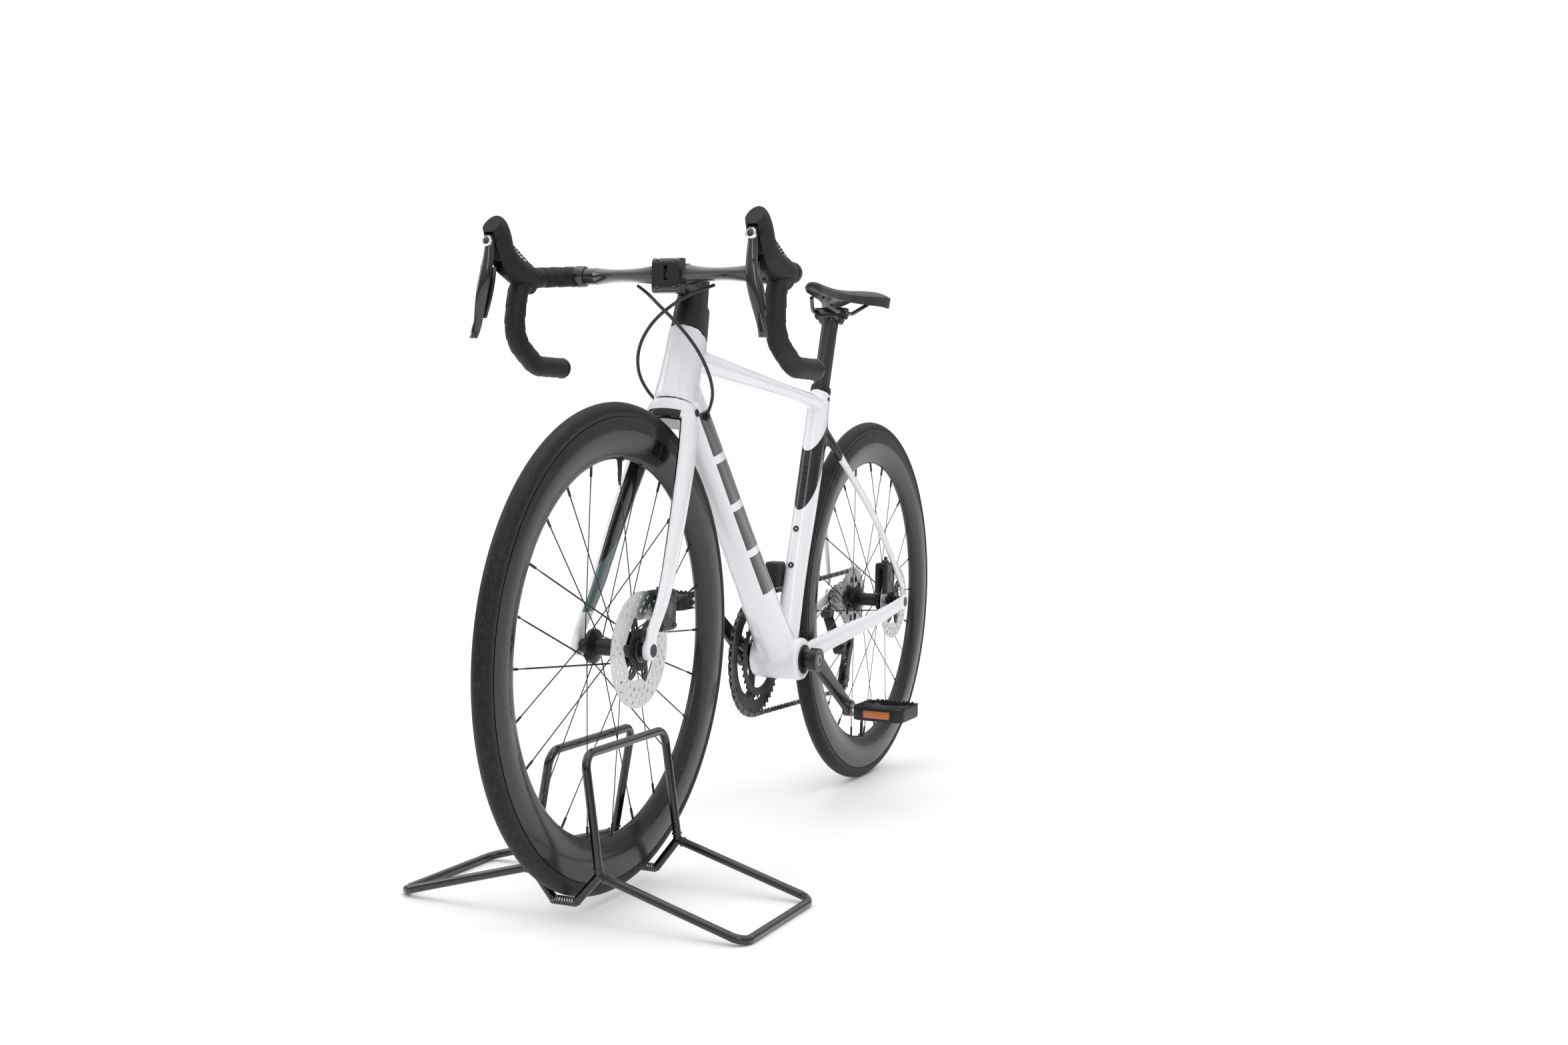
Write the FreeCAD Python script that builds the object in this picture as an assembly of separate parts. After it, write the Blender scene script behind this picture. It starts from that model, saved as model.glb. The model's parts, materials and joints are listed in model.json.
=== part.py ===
import FreeCAD, Part
import math
import os

# Drop-bar road bicycle held by its front wheel in a sprung steel floor stand.
# Millimetres. +X is the riding direction, +Y the rider's left, +Z up.
# The origin is on the floor, midway between the two wheel axles.

V = FreeCAD.Vector

# ---- overall layout ----
TYRE_R = 337.0
TYRE_SPACING = 312.0
WHEELBASE = 2 * TYRE_R + TYRE_SPACING
FRONT_LIFT = 11.5
BB_DROP = 66.0
BB_BEHIND_TYRE = 71.0
BB_X = -WHEELBASE / 2 + TYRE_R + BB_BEHIND_TYRE
BB_Z = TYRE_R - BB_DROP
HEAD_ANGLE = 71.8
FORK_RAKE = 50.0
SEAT_ANGLE = 73.1
SEAT_TUBE_SETBACK = 16.0
SIDE_GAP = 0.3
RUNNING = 0.05

# ---- wheels ----
TYRE_WIDTH = 27.0
TYRE_WALL = 2.6
RIM_EDGE_R = 317.0
RIM_DEPTH = 58.0
RIM_WIDTH = 29.0
RIM_EDGE_WIDTH = 26.4
RIM_WELL_WIDTH = 20.0
RIM_WELL_DEPTH = 8.0
RIM_WALL = 2.4
AXLE_R = 6.0
SPOKES_PER_SIDE = 12
SPOKE_R = 1.0
SPOKE_HEAD_STEP = 1.7
SPOKE_CROSS_DEG = 60.0
FLANGE_R = 22.0
FLANGE_T = 5.6
HUB_BODY_R = 12.0
FRONT_HUB_HALF = 50.0
REAR_HUB_HALF = 71.0
FRONT_FLANGE_LEFT = 22.0
FRONT_FLANGE_RIGHT = 32.0
REAR_FLANGE_LEFT = 31.0
REAR_FLANGE_RIGHT = 18.0
FRONT_ROTOR_R = 80.0
FRONT_ROTOR_Y = 40.0
REAR_ROTOR_R = 70.0
REAR_ROTOR_Y = 55.0
ROTOR_T = 1.8
ROTOR_TRACK = 14.0
DISC_SLOT_WIDTH = 6.4
PAD_GAP = 0.5

# ---- drivetrain ----
CHAIN_PITCH = 12.7
CHAIN_HALF_HEIGHT = 4.0
CHAIN_PLATE_T = 1.0
CHAIN_PLATE_Y = 2.1
CHAIN_STRAIGHT_LEAD = 42.0
CHAIN_PIN_R = 1.8
BIG_RING_TEETH = 50
SMALL_RING_TEETH = 34
CHAIN_LINE = 45.0
RING_STEP = 6.6
RING_T = 1.8
COG_TEETH = (30, 27, 24, 21, 19, 17, 15, 14, 13, 12, 11)
COG_IN_USE = 1
COG_PITCH = 3.74
COG_T = 1.5
BIG_COG_Y = 27.0
PULLEY_TEETH = 11
GUIDE_PULLEY_DX = 9.0
GUIDE_PULLEY_DZ = -87.0
TENSION_PULLEY_DX = 31.0
TENSION_PULLEY_DZ = -148.0
PULLEY_T = 2.0
CRANK_LENGTH = 171.0
CRANK_BELOW_DEG = 35.5
CRANK_BOSS_Y = 57.0
CRANK_BOSS_T = 15.0
CRANK_END_Y = 66.0
CRANK_END_T = 14.0
CRANK_BOSS_R = 20.0
CRANK_END_R = 14.0
SPINDLE_R = 12.0
SPIDER_R = 61.0
PEDAL_INNER_Y = 97.0
PEDAL_WIDTH = 90.0
PEDAL_LENGTH = 100.0
PEDAL_HEIGHT = 26.0
PEDAL_AXLE_R = 6.0
PEDAL_CAGE_T = 9.0

# ---- frame ----
BB_SHELL_R = 36.0
BB_SHELL_HALF = 43.0
BB_BORE_R = 20.5
BB_BEARING_T = 9.0
CROWN_ABOVE_TYRE = 3.5
HEAD_BOTTOM_Z = 2 * TYRE_R + FRONT_LIFT + CROWN_ABOVE_TYRE
HEAD_HEIGHT = 108.0
HEAD_TOP_Z = HEAD_BOTTOM_Z + HEAD_HEIGHT
HEAD_BORE_R = 17.0
LOWER_BEARING_R = 26.0
UPPER_BEARING_R = 21.0
BEARING_H = 8.0
STEERER_R = 14.3
STEERER_BASE_R = 19.0
JOINT_GAP = 0.8
TUBE_WALL = 2.2
WHEEL_CUTOUT_GAP = 7.0
SEAT_TUBE_HEIGHT = 451.0
SEAT_TUBE_TOP_Z = BB_Z + SEAT_TUBE_HEIGHT
DROPOUT_T = 8.0
BOSS_ABOVE_BB = 147.0
BOSS_SPACING = 64.0
BOSS_R = 5.0
BOSS_PROUD = 1.2
BOSS_HOLE_R = 2.1
BOSS_HOLE_DEPTH = 13.0
CROWN_SWEEP_R = 57.0
CROWN_DEPTH = 27.0

# ---- seatpost and saddle ----
POST_HALF_DEPTH = 20.0
POST_HALF_WIDTH = 12.5
POST_INSERT = 112.0
POST_OUT = 124.0
POST_TOP_Z = SEAT_TUBE_TOP_Z + POST_OUT
COLLAR_H = 9.0
COLLAR_WALL = 4.0
RAIL_R = 3.5
RAIL_HALF_SPACING = 22.0
RAIL_ABOVE_POST = 19.0
RAIL_Z = POST_TOP_Z + RAIL_ABOVE_POST
SADDLE_NOSE_AHEAD = 99.46
SADDLE_LENGTH = 247.0
SADDLE_HALF_WIDTH = 71.0

# ---- cockpit ----
STEM_REACH = 71.76
BAR_RISE = 75.0
BAR_Z = HEAD_TOP_Z + BAR_RISE
BAR_R = 12.0
BAR_WALL = 2.0
BAR_CLAMP_R = 15.9
BAR_CLAMP_HALF = 27.0
BAR_TOP_HALF_DEPTH = 19.0
BAR_TOP_HALF_HEIGHT = 10.0
BAR_HALF_WIDTH = 202.0
TAPE_START_Y = 128.0
TAPE_T = 3.4
STEM_HALF_WIDTH = 20.0
STEM_TOP_Z = BAR_Z + 7.0
STEM_BOTTOM_Z = BAR_Z - 34.0
LEVER_PIVOT_DX = 160.0
LEVER_PIVOT_DZ = 36.0
LEVER_PIN_R = 2.5
PADDLE_PIN_R = 2.2
LEVER_SLOT_WIDTH = 14.6
PADDLE_ROOM = 32.0
LEVER_DROP = 105.0
HOSE_R = 2.5

# ---- stand ----
STAND_TUBE_R = 6.0
STAND_FRONT_X = WHEELBASE / 2 + 120.0
STAND_REAR_X = WHEELBASE / 2 - 105.0
STAND_FLOOR_Y = 260.0
STAND_ELBOW_Y = 51.0
STAND_ELBOW_Z = 66.0
STAND_TOP_Y = 26.0
STAND_TOP_Z = 222.0
STAND_BEND_R = 20.0
LINK_END_Y = 17.0
SPRING_R = 6.5

REAR_AXLE = V(-WHEELBASE / 2, 0, TYRE_R)
FRONT_AXLE = V(WHEELBASE / 2, 0, TYRE_R + FRONT_LIFT)
BB = V(BB_X, 0, BB_Z)
X_AXIS = V(1, 0, 0)
Y_AXIS = V(0, 1, 0)
Z_AXIS = V(0, 0, 1)
HEAD_UP = V(-math.cos(math.radians(HEAD_ANGLE)), 0, math.sin(math.radians(HEAD_ANGLE)))
HEAD_AHEAD = V(math.sin(math.radians(HEAD_ANGLE)), 0, math.cos(math.radians(HEAD_ANGLE)))
SEAT_UP = V(-math.cos(math.radians(SEAT_ANGLE)), 0, math.sin(math.radians(SEAT_ANGLE)))
SEAT_AHEAD = V(math.sin(math.radians(SEAT_ANGLE)), 0, math.cos(math.radians(SEAT_ANGLE)))
CRANK_ANGLE = math.radians(CRANK_BELOW_DEG)
LEFT_CRANK_END = BB + V(-math.cos(CRANK_ANGLE), 0, -math.sin(CRANK_ANGLE)) * CRANK_LENGTH
RIGHT_CRANK_END = BB + V(math.cos(CRANK_ANGLE), 0, math.sin(CRANK_ANGLE)) * CRANK_LENGTH

STEERING_BASE = FRONT_AXLE - HEAD_AHEAD * FORK_RAKE
BAR_X = STEERING_BASE.x + (BAR_Z - STEERING_BASE.z) * HEAD_UP.x / HEAD_UP.z + STEM_REACH


# ---------------------------------------------------------------- helpers

def pitch_radius(teeth):
    """Radius of a sprocket's pitch circle."""
    return CHAIN_PITCH / (2 * math.sin(math.pi / teeth))


def head_axis(z):
    """Point of the steering axis at a height."""
    return STEERING_BASE + HEAD_UP * ((z - STEERING_BASE.z) / HEAD_UP.z)


def seat_axis(z):
    """Point of the seat tube's centre line at a height."""
    base = V(BB_X - SEAT_TUBE_SETBACK, 0, BB_Z)
    return base + SEAT_UP * ((z - base.z) / SEAT_UP.z)


def polar(radius, angle):
    """Step of a radius at an angle in the XZ plane."""
    return V(radius * math.cos(angle), 0, radius * math.sin(angle))


def rod(start, end, radius):
    """Cylinder between two points."""
    along = end - start
    return Part.makeCylinder(radius, along.Length, start, along)


def pipe(start, end, outer, inner):
    """Hollow cylinder between two points."""
    return rod(start, end, outer).cut(rod(start, end, inner))


def cross(centre, y0, y1, radius):
    """Cylinder along Y through a centre's X and Z, between two heights in either order."""
    return rod(V(centre.x, min(y0, y1), centre.z), V(centre.x, max(y0, y1), centre.z), radius)


def block(x0, x1, y0, y1, z0, z1):
    """Box between two corners."""
    return Part.makeBox(x1 - x0, y1 - y0, z1 - z0, V(x0, y0, z0))


def mirror_y(shape):
    """The same piece on the other side of the bicycle."""
    return shape.mirror(V(0, 0, 0), Y_AXIS)


def section(centre, ahead, side, nose, tail, half_width, power=1.0):
    """Closed smooth outline, round in front and drawn out behind."""
    points = []
    for step in range(16):
        angle = 2 * math.pi * step / 16
        along = math.cos(angle)
        across = math.sin(angle)
        along = math.copysign(abs(along) ** power, along) * (nose if along > 0 else tail)
        across = math.copysign(abs(across) ** power, across) * half_width
        points.append(centre + ahead * along + side * across)
    curve = Part.BSplineCurve()
    curve.interpolate(points, PeriodicFlag=True)
    return Part.Wire([curve.toShape()])


def loft(wires):
    """Solid through a row of outlines."""
    return Part.makeLoft(wires, True, False)


def sized_tube(stations, ahead, side, shrink=0.0, power=1.0):
    """Solid through stations of centre, nose, tail and half width."""
    wires = []
    for centre, nose, tail, half_width in stations:
        outline = section(centre, ahead, side, nose - shrink, tail - shrink, half_width - shrink, power)
        wires.append(outline)
    return loft(wires)


def hollow_tube(stations, ahead, side, wall, power=1.0):
    """Walled tube through stations."""
    outer = sized_tube(stations, ahead, side, 0.0, power)
    return outer.cut(sized_tube(stations, ahead, side, wall, power))


def rounded_path(points, radii):
    """Straight runs joined by tangent arcs."""
    edges = []
    start = points[0]
    for index in range(1, len(points) - 1):
        corner = points[index]
        before = (points[index - 1] - corner).normalize()
        after = (points[index + 1] - corner).normalize()
        half_turn = (math.pi - before.getAngle(after)) / 2
        back = radii[index - 1] * math.tan(half_turn)
        enter = corner + before * back
        leave = corner + after * back
        middle_way = (before + after).normalize()
        reach = radii[index - 1] / math.cos(half_turn) - radii[index - 1]
        edges.append(Part.LineSegment(start, enter).toShape())
        edges.append(Part.Arc(enter, corner + middle_way * reach, leave).toShape())
        start = leave
    edges.append(Part.LineSegment(start, points[-1]).toShape())
    return Part.Wire(edges)


def bent_rod(points, radii, radius):
    """Round bar bent along a path."""
    path = rounded_path(points, radii)
    first = points[1] - points[0]
    circle = Part.Wire([Part.Circle(points[0], first, radius).toShape()])
    return path.makePipeShell([circle], True, False)


def free_radii(points):
    """Bend radii for a hose: 0.45 of the shorter run over the half turn's tangent."""
    radii = []
    for index in range(1, len(points) - 1):
        before = points[index] - points[index - 1]
        after = points[index + 1] - points[index]
        half_turn = before.getAngle(after) / 2
        radii.append(0.45 * min(before.Length, after.Length) / math.tan(half_turn))
    return radii


def hose(name, points):
    """Hose along hand-placed points, with its radii printed."""
    radii = free_radii(points)
    print(name, "bend radii", [round(radius, 1) for radius in radii])
    solid = bent_rod(points, radii, HOSE_R)
    length = rounded_path(points, radii).Length
    swept = math.pi * HOSE_R ** 2 * length
    print(name, "length", round(length, 1), "volume ratio", round(solid.Volume / swept, 4))
    return solid


def spun(profile, centre):
    """Solid of revolution about the Y axis through a centre; profile points are (radius, y)."""
    points = [V(centre.x + radius, y, centre.z) for radius, y in profile]
    face = Part.Face(Part.makePolygon(points + [points[0]]))
    return face.revolve(V(centre.x, 0, centre.z), Y_AXIS, 360)


def save(name, *solids):
    """Write one node; several pieces stay separate solids."""
    shape = solids[0] if len(solids) == 1 else Part.makeCompound(list(solids))
    shape.exportStep("parts/" + name + ".step")


# ---------------------------------------------------------------- stand

def stand_wing():
    """Left wing: foot loop, elbows and upright loop in one bent tube, with the two spring links."""
    loops = []
    for y_floor, z_floor, y_end, z_end in (
        (STAND_FLOOR_Y, STAND_TUBE_R, STAND_ELBOW_Y, STAND_ELBOW_Z),
        (STAND_TOP_Y, STAND_TOP_Z, STAND_ELBOW_Y, STAND_ELBOW_Z),
    ):
        points = [
            V(STAND_FRONT_X, y_end, z_end),
            V(STAND_FRONT_X, y_floor, z_floor),
            V(STAND_REAR_X, y_floor, z_floor),
            V(STAND_REAR_X, y_end, z_end),
        ]
        loops.append(bent_rod(points, [STAND_BEND_R, STAND_BEND_R], STAND_TUBE_R))
    wing = loops[0].fuse(loops[1])
    for x in (STAND_FRONT_X, STAND_REAR_X):
        elbow = V(x, STAND_ELBOW_Y, STAND_ELBOW_Z)
        wing = wing.fuse(Part.makeSphere(STAND_TUBE_R, elbow))
        wing = wing.fuse(rod(elbow, V(x, LINK_END_Y, spring_z(x)), STAND_TUBE_R))
    return wing.removeSplitter()


def spring_z(x):
    """Height of a spring that the tyre rests on."""
    reach = TYRE_R + SPRING_R + SIDE_GAP
    return FRONT_AXLE.z - math.sqrt(reach ** 2 - (x - FRONT_AXLE.x) ** 2)


def stand_springs():
    """Two coil springs under the tyre, between the ends of the links."""
    springs = []
    for x in (STAND_FRONT_X, STAND_REAR_X):
        z = spring_z(x)
        spring = rod(V(x, -LINK_END_Y - 1.0, z), V(x, LINK_END_Y + 1.0, z), SPRING_R)
        for side in (1, -1):
            elbow = V(x, side * STAND_ELBOW_Y, STAND_ELBOW_Z)
            end = V(x, side * LINK_END_Y, z)
            past = (end - elbow).normalize() * SIDE_GAP
            spring = spring.cut(rod(elbow, end + past, STAND_TUBE_R + SIDE_GAP))
        springs.append(spring)
    return springs


# ---------------------------------------------------------------- wheels

def rim_outline(shrink):
    """Half the rim's outside as (radius, y) points from the edge to the spoke bed."""
    bed = RIM_EDGE_R - RIM_DEPTH + shrink
    half = RIM_WIDTH / 2 - shrink
    edge = RIM_EDGE_WIDTH / 2 - shrink
    top = RIM_EDGE_R if shrink == 0 else RIM_EDGE_R - RIM_WELL_DEPTH - shrink
    return [
        (top, edge),
        (RIM_EDGE_R - 18.0, half),
        (RIM_EDGE_R - 33.0, half * 0.88),
        (bed + 6.0, half * 0.5),
        (bed, 0.0),
    ]


def rim_face(shrink, centre):
    """Closed cross-section of the rim's body."""
    half = rim_outline(shrink)
    points = half + [(radius, -y) for radius, y in reversed(half[:-1])]
    nodes = [V(centre.x + radius, y, centre.z) for radius, y in points]
    curve = Part.BSplineCurve()
    curve.interpolate(nodes)
    chord = Part.LineSegment(nodes[-1], nodes[0]).toShape()
    return Part.Face(Part.Wire([curve.toShape(), chord]))


def rim_well(centre):
    """Cross-section of the channel that the tyre's beads sit in."""
    low = centre.x + RIM_EDGE_R - RIM_WELL_DEPTH
    high = centre.x + RIM_EDGE_R + 2.0
    half = RIM_WELL_WIDTH / 2
    corners = []
    for x, y in ((low, -half), (low, half), (high, half), (high, -half)):
        corners.append(V(x, y, centre.z))
    return Part.Face(Part.makePolygon(corners + [corners[0]]))


def rim(centre):
    """Deep hollow rim."""
    face = rim_face(0, centre).cut(rim_well(centre)).cut(rim_face(RIM_WALL, centre))
    return face.revolve(centre, Y_AXIS, 360)


def tyre(centre):
    """Tyre casing seated in the rim's channel."""
    radius = TYRE_WIDTH / 2
    middle = V(centre.x + TYRE_R - radius, 0, centre.z)
    outer = Part.Face(Part.Wire([Part.Circle(middle, Z_AXIS, radius).toShape()]))
    inner = Part.Face(Part.Wire([Part.Circle(middle, Z_AXIS, radius - TYRE_WALL).toShape()]))
    face = outer.cut(inner).cut(rim_face(0, centre).cut(rim_well(centre)))
    return face.revolve(centre, Y_AXIS, 360)


def spokes(centre, flange_left, flange_right):
    """Straight spokes, each side laced alternately forward and back."""
    rods = []
    bed = RIM_EDGE_R - RIM_DEPTH - 0.4
    for side, flange in ((1, flange_left), (-1, flange_right)):
        for index in range(SPOKES_PER_SIDE):
            half_step = 0.0 if side > 0 else 0.5
            rim_angle = 2 * math.pi * (index + half_step) / SPOKES_PER_SIDE
            lean = 1 if index % 2 else -1
            hub_angle = rim_angle + lean * math.radians(SPOKE_CROSS_DEG)
            hub_y = side * flange + lean * SPOKE_HEAD_STEP
            start = centre + polar(FLANGE_R - 1.0, hub_angle) + Y_AXIS * hub_y
            end = centre + polar(bed, rim_angle) + Y_AXIS * (lean * SPOKE_HEAD_STEP)
            rods.append(rod(start, end, SPOKE_R))
    return rods


def hub(centre, left_end, right_end, flange_left, flange_right, rotor_y):
    """Hub shell with two flanges, a disc mount on the left and a bore for the thru axle."""
    bore = AXLE_R + RUNNING
    half_flange = FLANGE_T / 2
    profile = [
        (bore, left_end), (9.5, left_end), (9.5, rotor_y + 5.0), (16.0, rotor_y + 5.0),
        (16.0, rotor_y - 2.0), (19.0, rotor_y - 4.0), (HUB_BODY_R + 3.0, flange_left + 7.0),
        (FLANGE_R + 2.0, flange_left + half_flange), (FLANGE_R + 2.0, flange_left - half_flange),
        (HUB_BODY_R, flange_left - 10.0), (HUB_BODY_R, -flange_right + 9.0),
        (FLANGE_R + 2.0, -flange_right + half_flange), (FLANGE_R + 2.0, -flange_right - half_flange),
        (10.0, -flange_right - half_flange - 1.2), (9.5, right_end), (bore, right_end),
    ]
    return spun(profile, centre)


def rotor(centre, radius, y):
    """Brake disc: braking band with vents, finned arms and a splined centre."""
    half = ROTOR_T / 2
    band = cross(centre, y - half, y + half, radius).cut(cross(centre, y - 5, y + 5, radius - ROTOR_TRACK))
    for index in range(24):
        angle = 2 * math.pi * index / 24
        reach = radius - ROTOR_TRACK * (0.35 if index % 2 else 0.62)
        hole = centre + polar(reach, angle)
        band = band.cut(cross(hole, y - 5, y + 5, 2.2))
    carrier = cross(centre, y - half, y + half, 30.0).cut(cross(centre, y - 5, y + 5, 16.0))
    disc = band.fuse(carrier)
    for index in range(6):
        angle = 2 * math.pi * index / 6
        arm = block(27.0, radius - ROTOR_TRACK + 2.0, y - half, y + half, -6.0, 6.0)
        arm.rotate(V(0, 0, 0), Y_AXIS, math.degrees(angle))
        arm.translate(V(centre.x, 0, centre.z))
        disc = disc.fuse(arm)
    return disc.cut(cross(centre, y - 5, y + 5, 16.0))


def axle(centre, half, head_r):
    """Thru axle with a low head on the left."""
    return cross(centre, -half, half, AXLE_R).fuse(cross(centre, half - 1.5, half + 0.6, head_r))


# ---------------------------------------------------------------- fork and cockpit

def fork_crown():
    """Crown over the tyre with the steerer tube standing on it."""
    plane = head_axis(HEAD_BOTTOM_Z) - HEAD_UP * JOINT_GAP
    top = section(plane, HEAD_AHEAD, Y_AXIS, 29.0, 40.0, 30.0)
    middle = section(plane - HEAD_UP * 12.0, HEAD_AHEAD, Y_AXIS, 28.0, 38.0, 37.0)
    low = section(plane - HEAD_UP * CROWN_DEPTH, HEAD_AHEAD, Y_AXIS, 27.0, 34.0, 41.0)
    crown = loft([top, middle, low])
    crown = crown.cut(cross(FRONT_AXLE, -60, 60, TYRE_R + WHEEL_CUTOUT_GAP))
    steerer_top = head_axis(STEM_TOP_Z - 6.0)
    crown = crown.fuse(rod(plane - HEAD_UP * 2.0, steerer_top, STEERER_R))
    return crown.fuse(rod(plane - HEAD_UP * 2.0, plane + HEAD_UP * (JOINT_GAP + 20.0), STEERER_BASE_R))


def fork_blade():
    """Left fork blade and its dropout."""
    plane = head_axis(HEAD_BOTTOM_Z) - HEAD_UP * (JOINT_GAP + CROWN_DEPTH)
    tip = V(FRONT_AXLE.x - 6.0, FRONT_HUB_HALF + 6.0, FRONT_AXLE.z + 24.0)
    ahead = V(0.92, 0, 0.39)
    outlines = [section(V(plane.x, 31.5, plane.z), HEAD_AHEAD, Y_AXIS, 24.0, 30.0, 9.2)]
    for share_ahead, share_down, y, nose, tail, half_width in (
        (0.147, 0.179, 37.5, 22.0, 27.0, 9.5),
        (0.440, 0.490, 47.5, 19.0, 22.0, 8.5),
        (0.747, 0.814, 54.0, 15.0, 17.0, 7.0),
    ):
        x = plane.x + share_ahead * (tip.x - plane.x)
        z = plane.z + share_down * (tip.z - plane.z)
        outlines.append(section(V(x, y, z), ahead, Y_AXIS, nose, tail, half_width))
    blade = loft(outlines + [section(tip, ahead, Y_AXIS, 13.0, 14.0, 5.7)])
    tip_end = cross(FRONT_AXLE, FRONT_HUB_HALF, FRONT_HUB_HALF + 11.5, 15.0)
    web = loft([
        section(tip, ahead, Y_AXIS, 13.0, 14.0, 5.7),
        section(V(FRONT_AXLE.x, FRONT_HUB_HALF + 5.75, FRONT_AXLE.z), ahead, Y_AXIS, 13.5, 13.5, 5.6),
    ])
    blade = blade.fuse(web).fuse(tip_end)
    blade = blade.cut(cross(FRONT_AXLE, 0, 90, AXLE_R))
    x = FRONT_AXLE.x
    blade = blade.cut(block(x - 67, x + 67, -20, FRONT_HUB_HALF, FRONT_AXLE.z - 25, FRONT_AXLE.z + 22))
    return blade.cut(axle(FRONT_AXLE, FRONT_HUB_HALF + 11.5, 9.0))


def headset_spacers():
    """Aero spacers and the cover below the stem."""
    low = head_axis(HEAD_TOP_Z) + HEAD_UP * JOINT_GAP
    high = head_axis(STEM_BOTTOM_Z) - HEAD_UP * 0.2
    stack = sized_tube([(low, 22.0, 60.0, 22.0), (high, 21.0, 52.0, 21.0)], HEAD_AHEAD, Y_AXIS)
    return stack.cut(rod(low - HEAD_UP * 5, high + HEAD_UP * 5, STEERER_R))


def stem():
    """Stem body clamped on the steerer, open at the front for the bar."""
    low = head_axis(STEM_BOTTOM_Z)
    high = head_axis(STEM_TOP_Z)
    ends = [(low, 20.0, 44.0, STEM_HALF_WIDTH), (high, 20.0, 32.0, STEM_HALF_WIDTH)]
    clamp = sized_tube(ends, HEAD_AHEAD, Y_AXIS)
    middle = (low + high) * 0.5
    reach = V(BAR_X - BAR_CLAMP_R * 0.2, 0, BAR_Z) - middle
    forward = V(reach).normalize()
    across = Y_AXIS
    up = forward.cross(across) * -1
    body = loft([
        section(middle, up, across, 19.0, 19.0, 19.0, 0.75),
        section(middle + reach * 0.55, up, across, 17.5, 18.5, 19.0, 0.7),
        section(middle + reach, up, across, 19.0, 21.0, 21.0, 0.6),
    ])
    body = clamp.fuse(body)
    body = body.cut(block(BAR_X + 0.4, BAR_X + 60, -60, 60, BAR_Z - 60, BAR_Z + 60))
    body = body.cut(rod(V(BAR_X, -60, BAR_Z), V(BAR_X, 60, BAR_Z), BAR_CLAMP_R))
    return body.cut(rod(low - HEAD_UP * 60, high - HEAD_UP * 6.0, STEERER_R))


def stem_faceplate():
    """Faceplate in front of the bar with its central slot."""
    plate = block(BAR_X + 0.6, BAR_X + 20.5, -22.0, 22.0, BAR_Z - 27.0, BAR_Z + 23.0)
    front_edges = []
    for edge in plate.Edges:
        bounds = edge.BoundBox
        if bounds.YLength > 43.0 and bounds.XMax > BAR_X + 20:
            front_edges.append(edge)
    plate = plate.makeFillet(8.0, front_edges)
    plate = plate.cut(rod(V(BAR_X, -60, BAR_Z), V(BAR_X, 60, BAR_Z), BAR_CLAMP_R))
    plate = plate.cut(block(BAR_X + 10, BAR_X + 30, -3.0, 3.0, BAR_Z - 9.0, BAR_Z + 12.0))
    for y, z in bolt_places():
        plate = plate.cut(rod(V(BAR_X, y, z), V(BAR_X + 40, y, z), 2.6))
    return plate


def bolt_places():
    """Y and Z of the four faceplate bolts."""
    places = []
    for z in (BAR_Z - 20.5, BAR_Z + 18.5):
        for y in (-14.0, 14.0):
            places.append((y, z))
    return places


def stem_bolts():
    """Four bolts that draw the faceplate to the stem."""
    bolts = []
    for y, z in bolt_places():
        bolts.append(rod(V(BAR_X + 1.0, y, z), V(BAR_X + 15.0, y, z), 2.5))
    return bolts


def bar_path(side):
    """Centre line of one half of the handlebar from the tape's start to the drop's end."""
    return [
        V(BAR_X, side * (TAPE_START_Y - 6.0), BAR_Z),
        V(BAR_X, side * (BAR_HALF_WIDTH - 3.0), BAR_Z),
        V(BAR_X + 86.0, side * (BAR_HALF_WIDTH + 1.0), BAR_Z - 10.0),
        V(BAR_X + 96.0, side * (BAR_HALF_WIDTH + 3.0), BAR_Z - 96.0),
        V(BAR_X + 30.0, side * (BAR_HALF_WIDTH + 5.0), BAR_Z - 133.0),
        V(BAR_X - 45.0, side * (BAR_HALF_WIDTH + 5.0), BAR_Z - 133.0),
    ]


BAR_BENDS = [38.0, 40.0, 46.0, 52.0]


def handlebar():
    """Drop bar with flattened tops."""
    stations = (
        (BAR_CLAMP_HALF - 2.0, BAR_CLAMP_R - 0.6, BAR_CLAMP_R - 0.6),
        (BAR_CLAMP_HALF + 30.0, BAR_TOP_HALF_DEPTH, BAR_TOP_HALF_HEIGHT),
        (TAPE_START_Y - 26.0, BAR_TOP_HALF_DEPTH, BAR_TOP_HALF_HEIGHT),
        (TAPE_START_Y - 4.0, BAR_R + 0.5, BAR_R + 0.5),
    )
    whole = cross(V(BAR_X, 0, BAR_Z), -BAR_CLAMP_HALF, BAR_CLAMP_HALF, BAR_CLAMP_R)
    for side in (1, -1):
        wires = []
        for y, deep, high in stations:
            wires.append(section(V(BAR_X, side * y, BAR_Z), X_AXIS, Z_AXIS, deep, deep, high))
        half = loft(wires).fuse(bent_rod(bar_path(side), BAR_BENDS, BAR_R))
        whole = whole.fuse(half)
    return whole


def bar_tape(side):
    """Wrapped tape sleeve over one half of the bar."""
    path = bar_path(side)
    path[0] = V(BAR_X, side * TAPE_START_Y, BAR_Z)
    return bent_rod(path, BAR_BENDS, BAR_R + TAPE_T).cut(bent_rod(bar_path(side), BAR_BENDS, BAR_R))


def lever_pivot(side):
    """Pivot of a brake lever."""
    return V(BAR_X + LEVER_PIVOT_DX, side * BAR_HALF_WIDTH, BAR_Z + LEVER_PIVOT_DZ)


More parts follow.
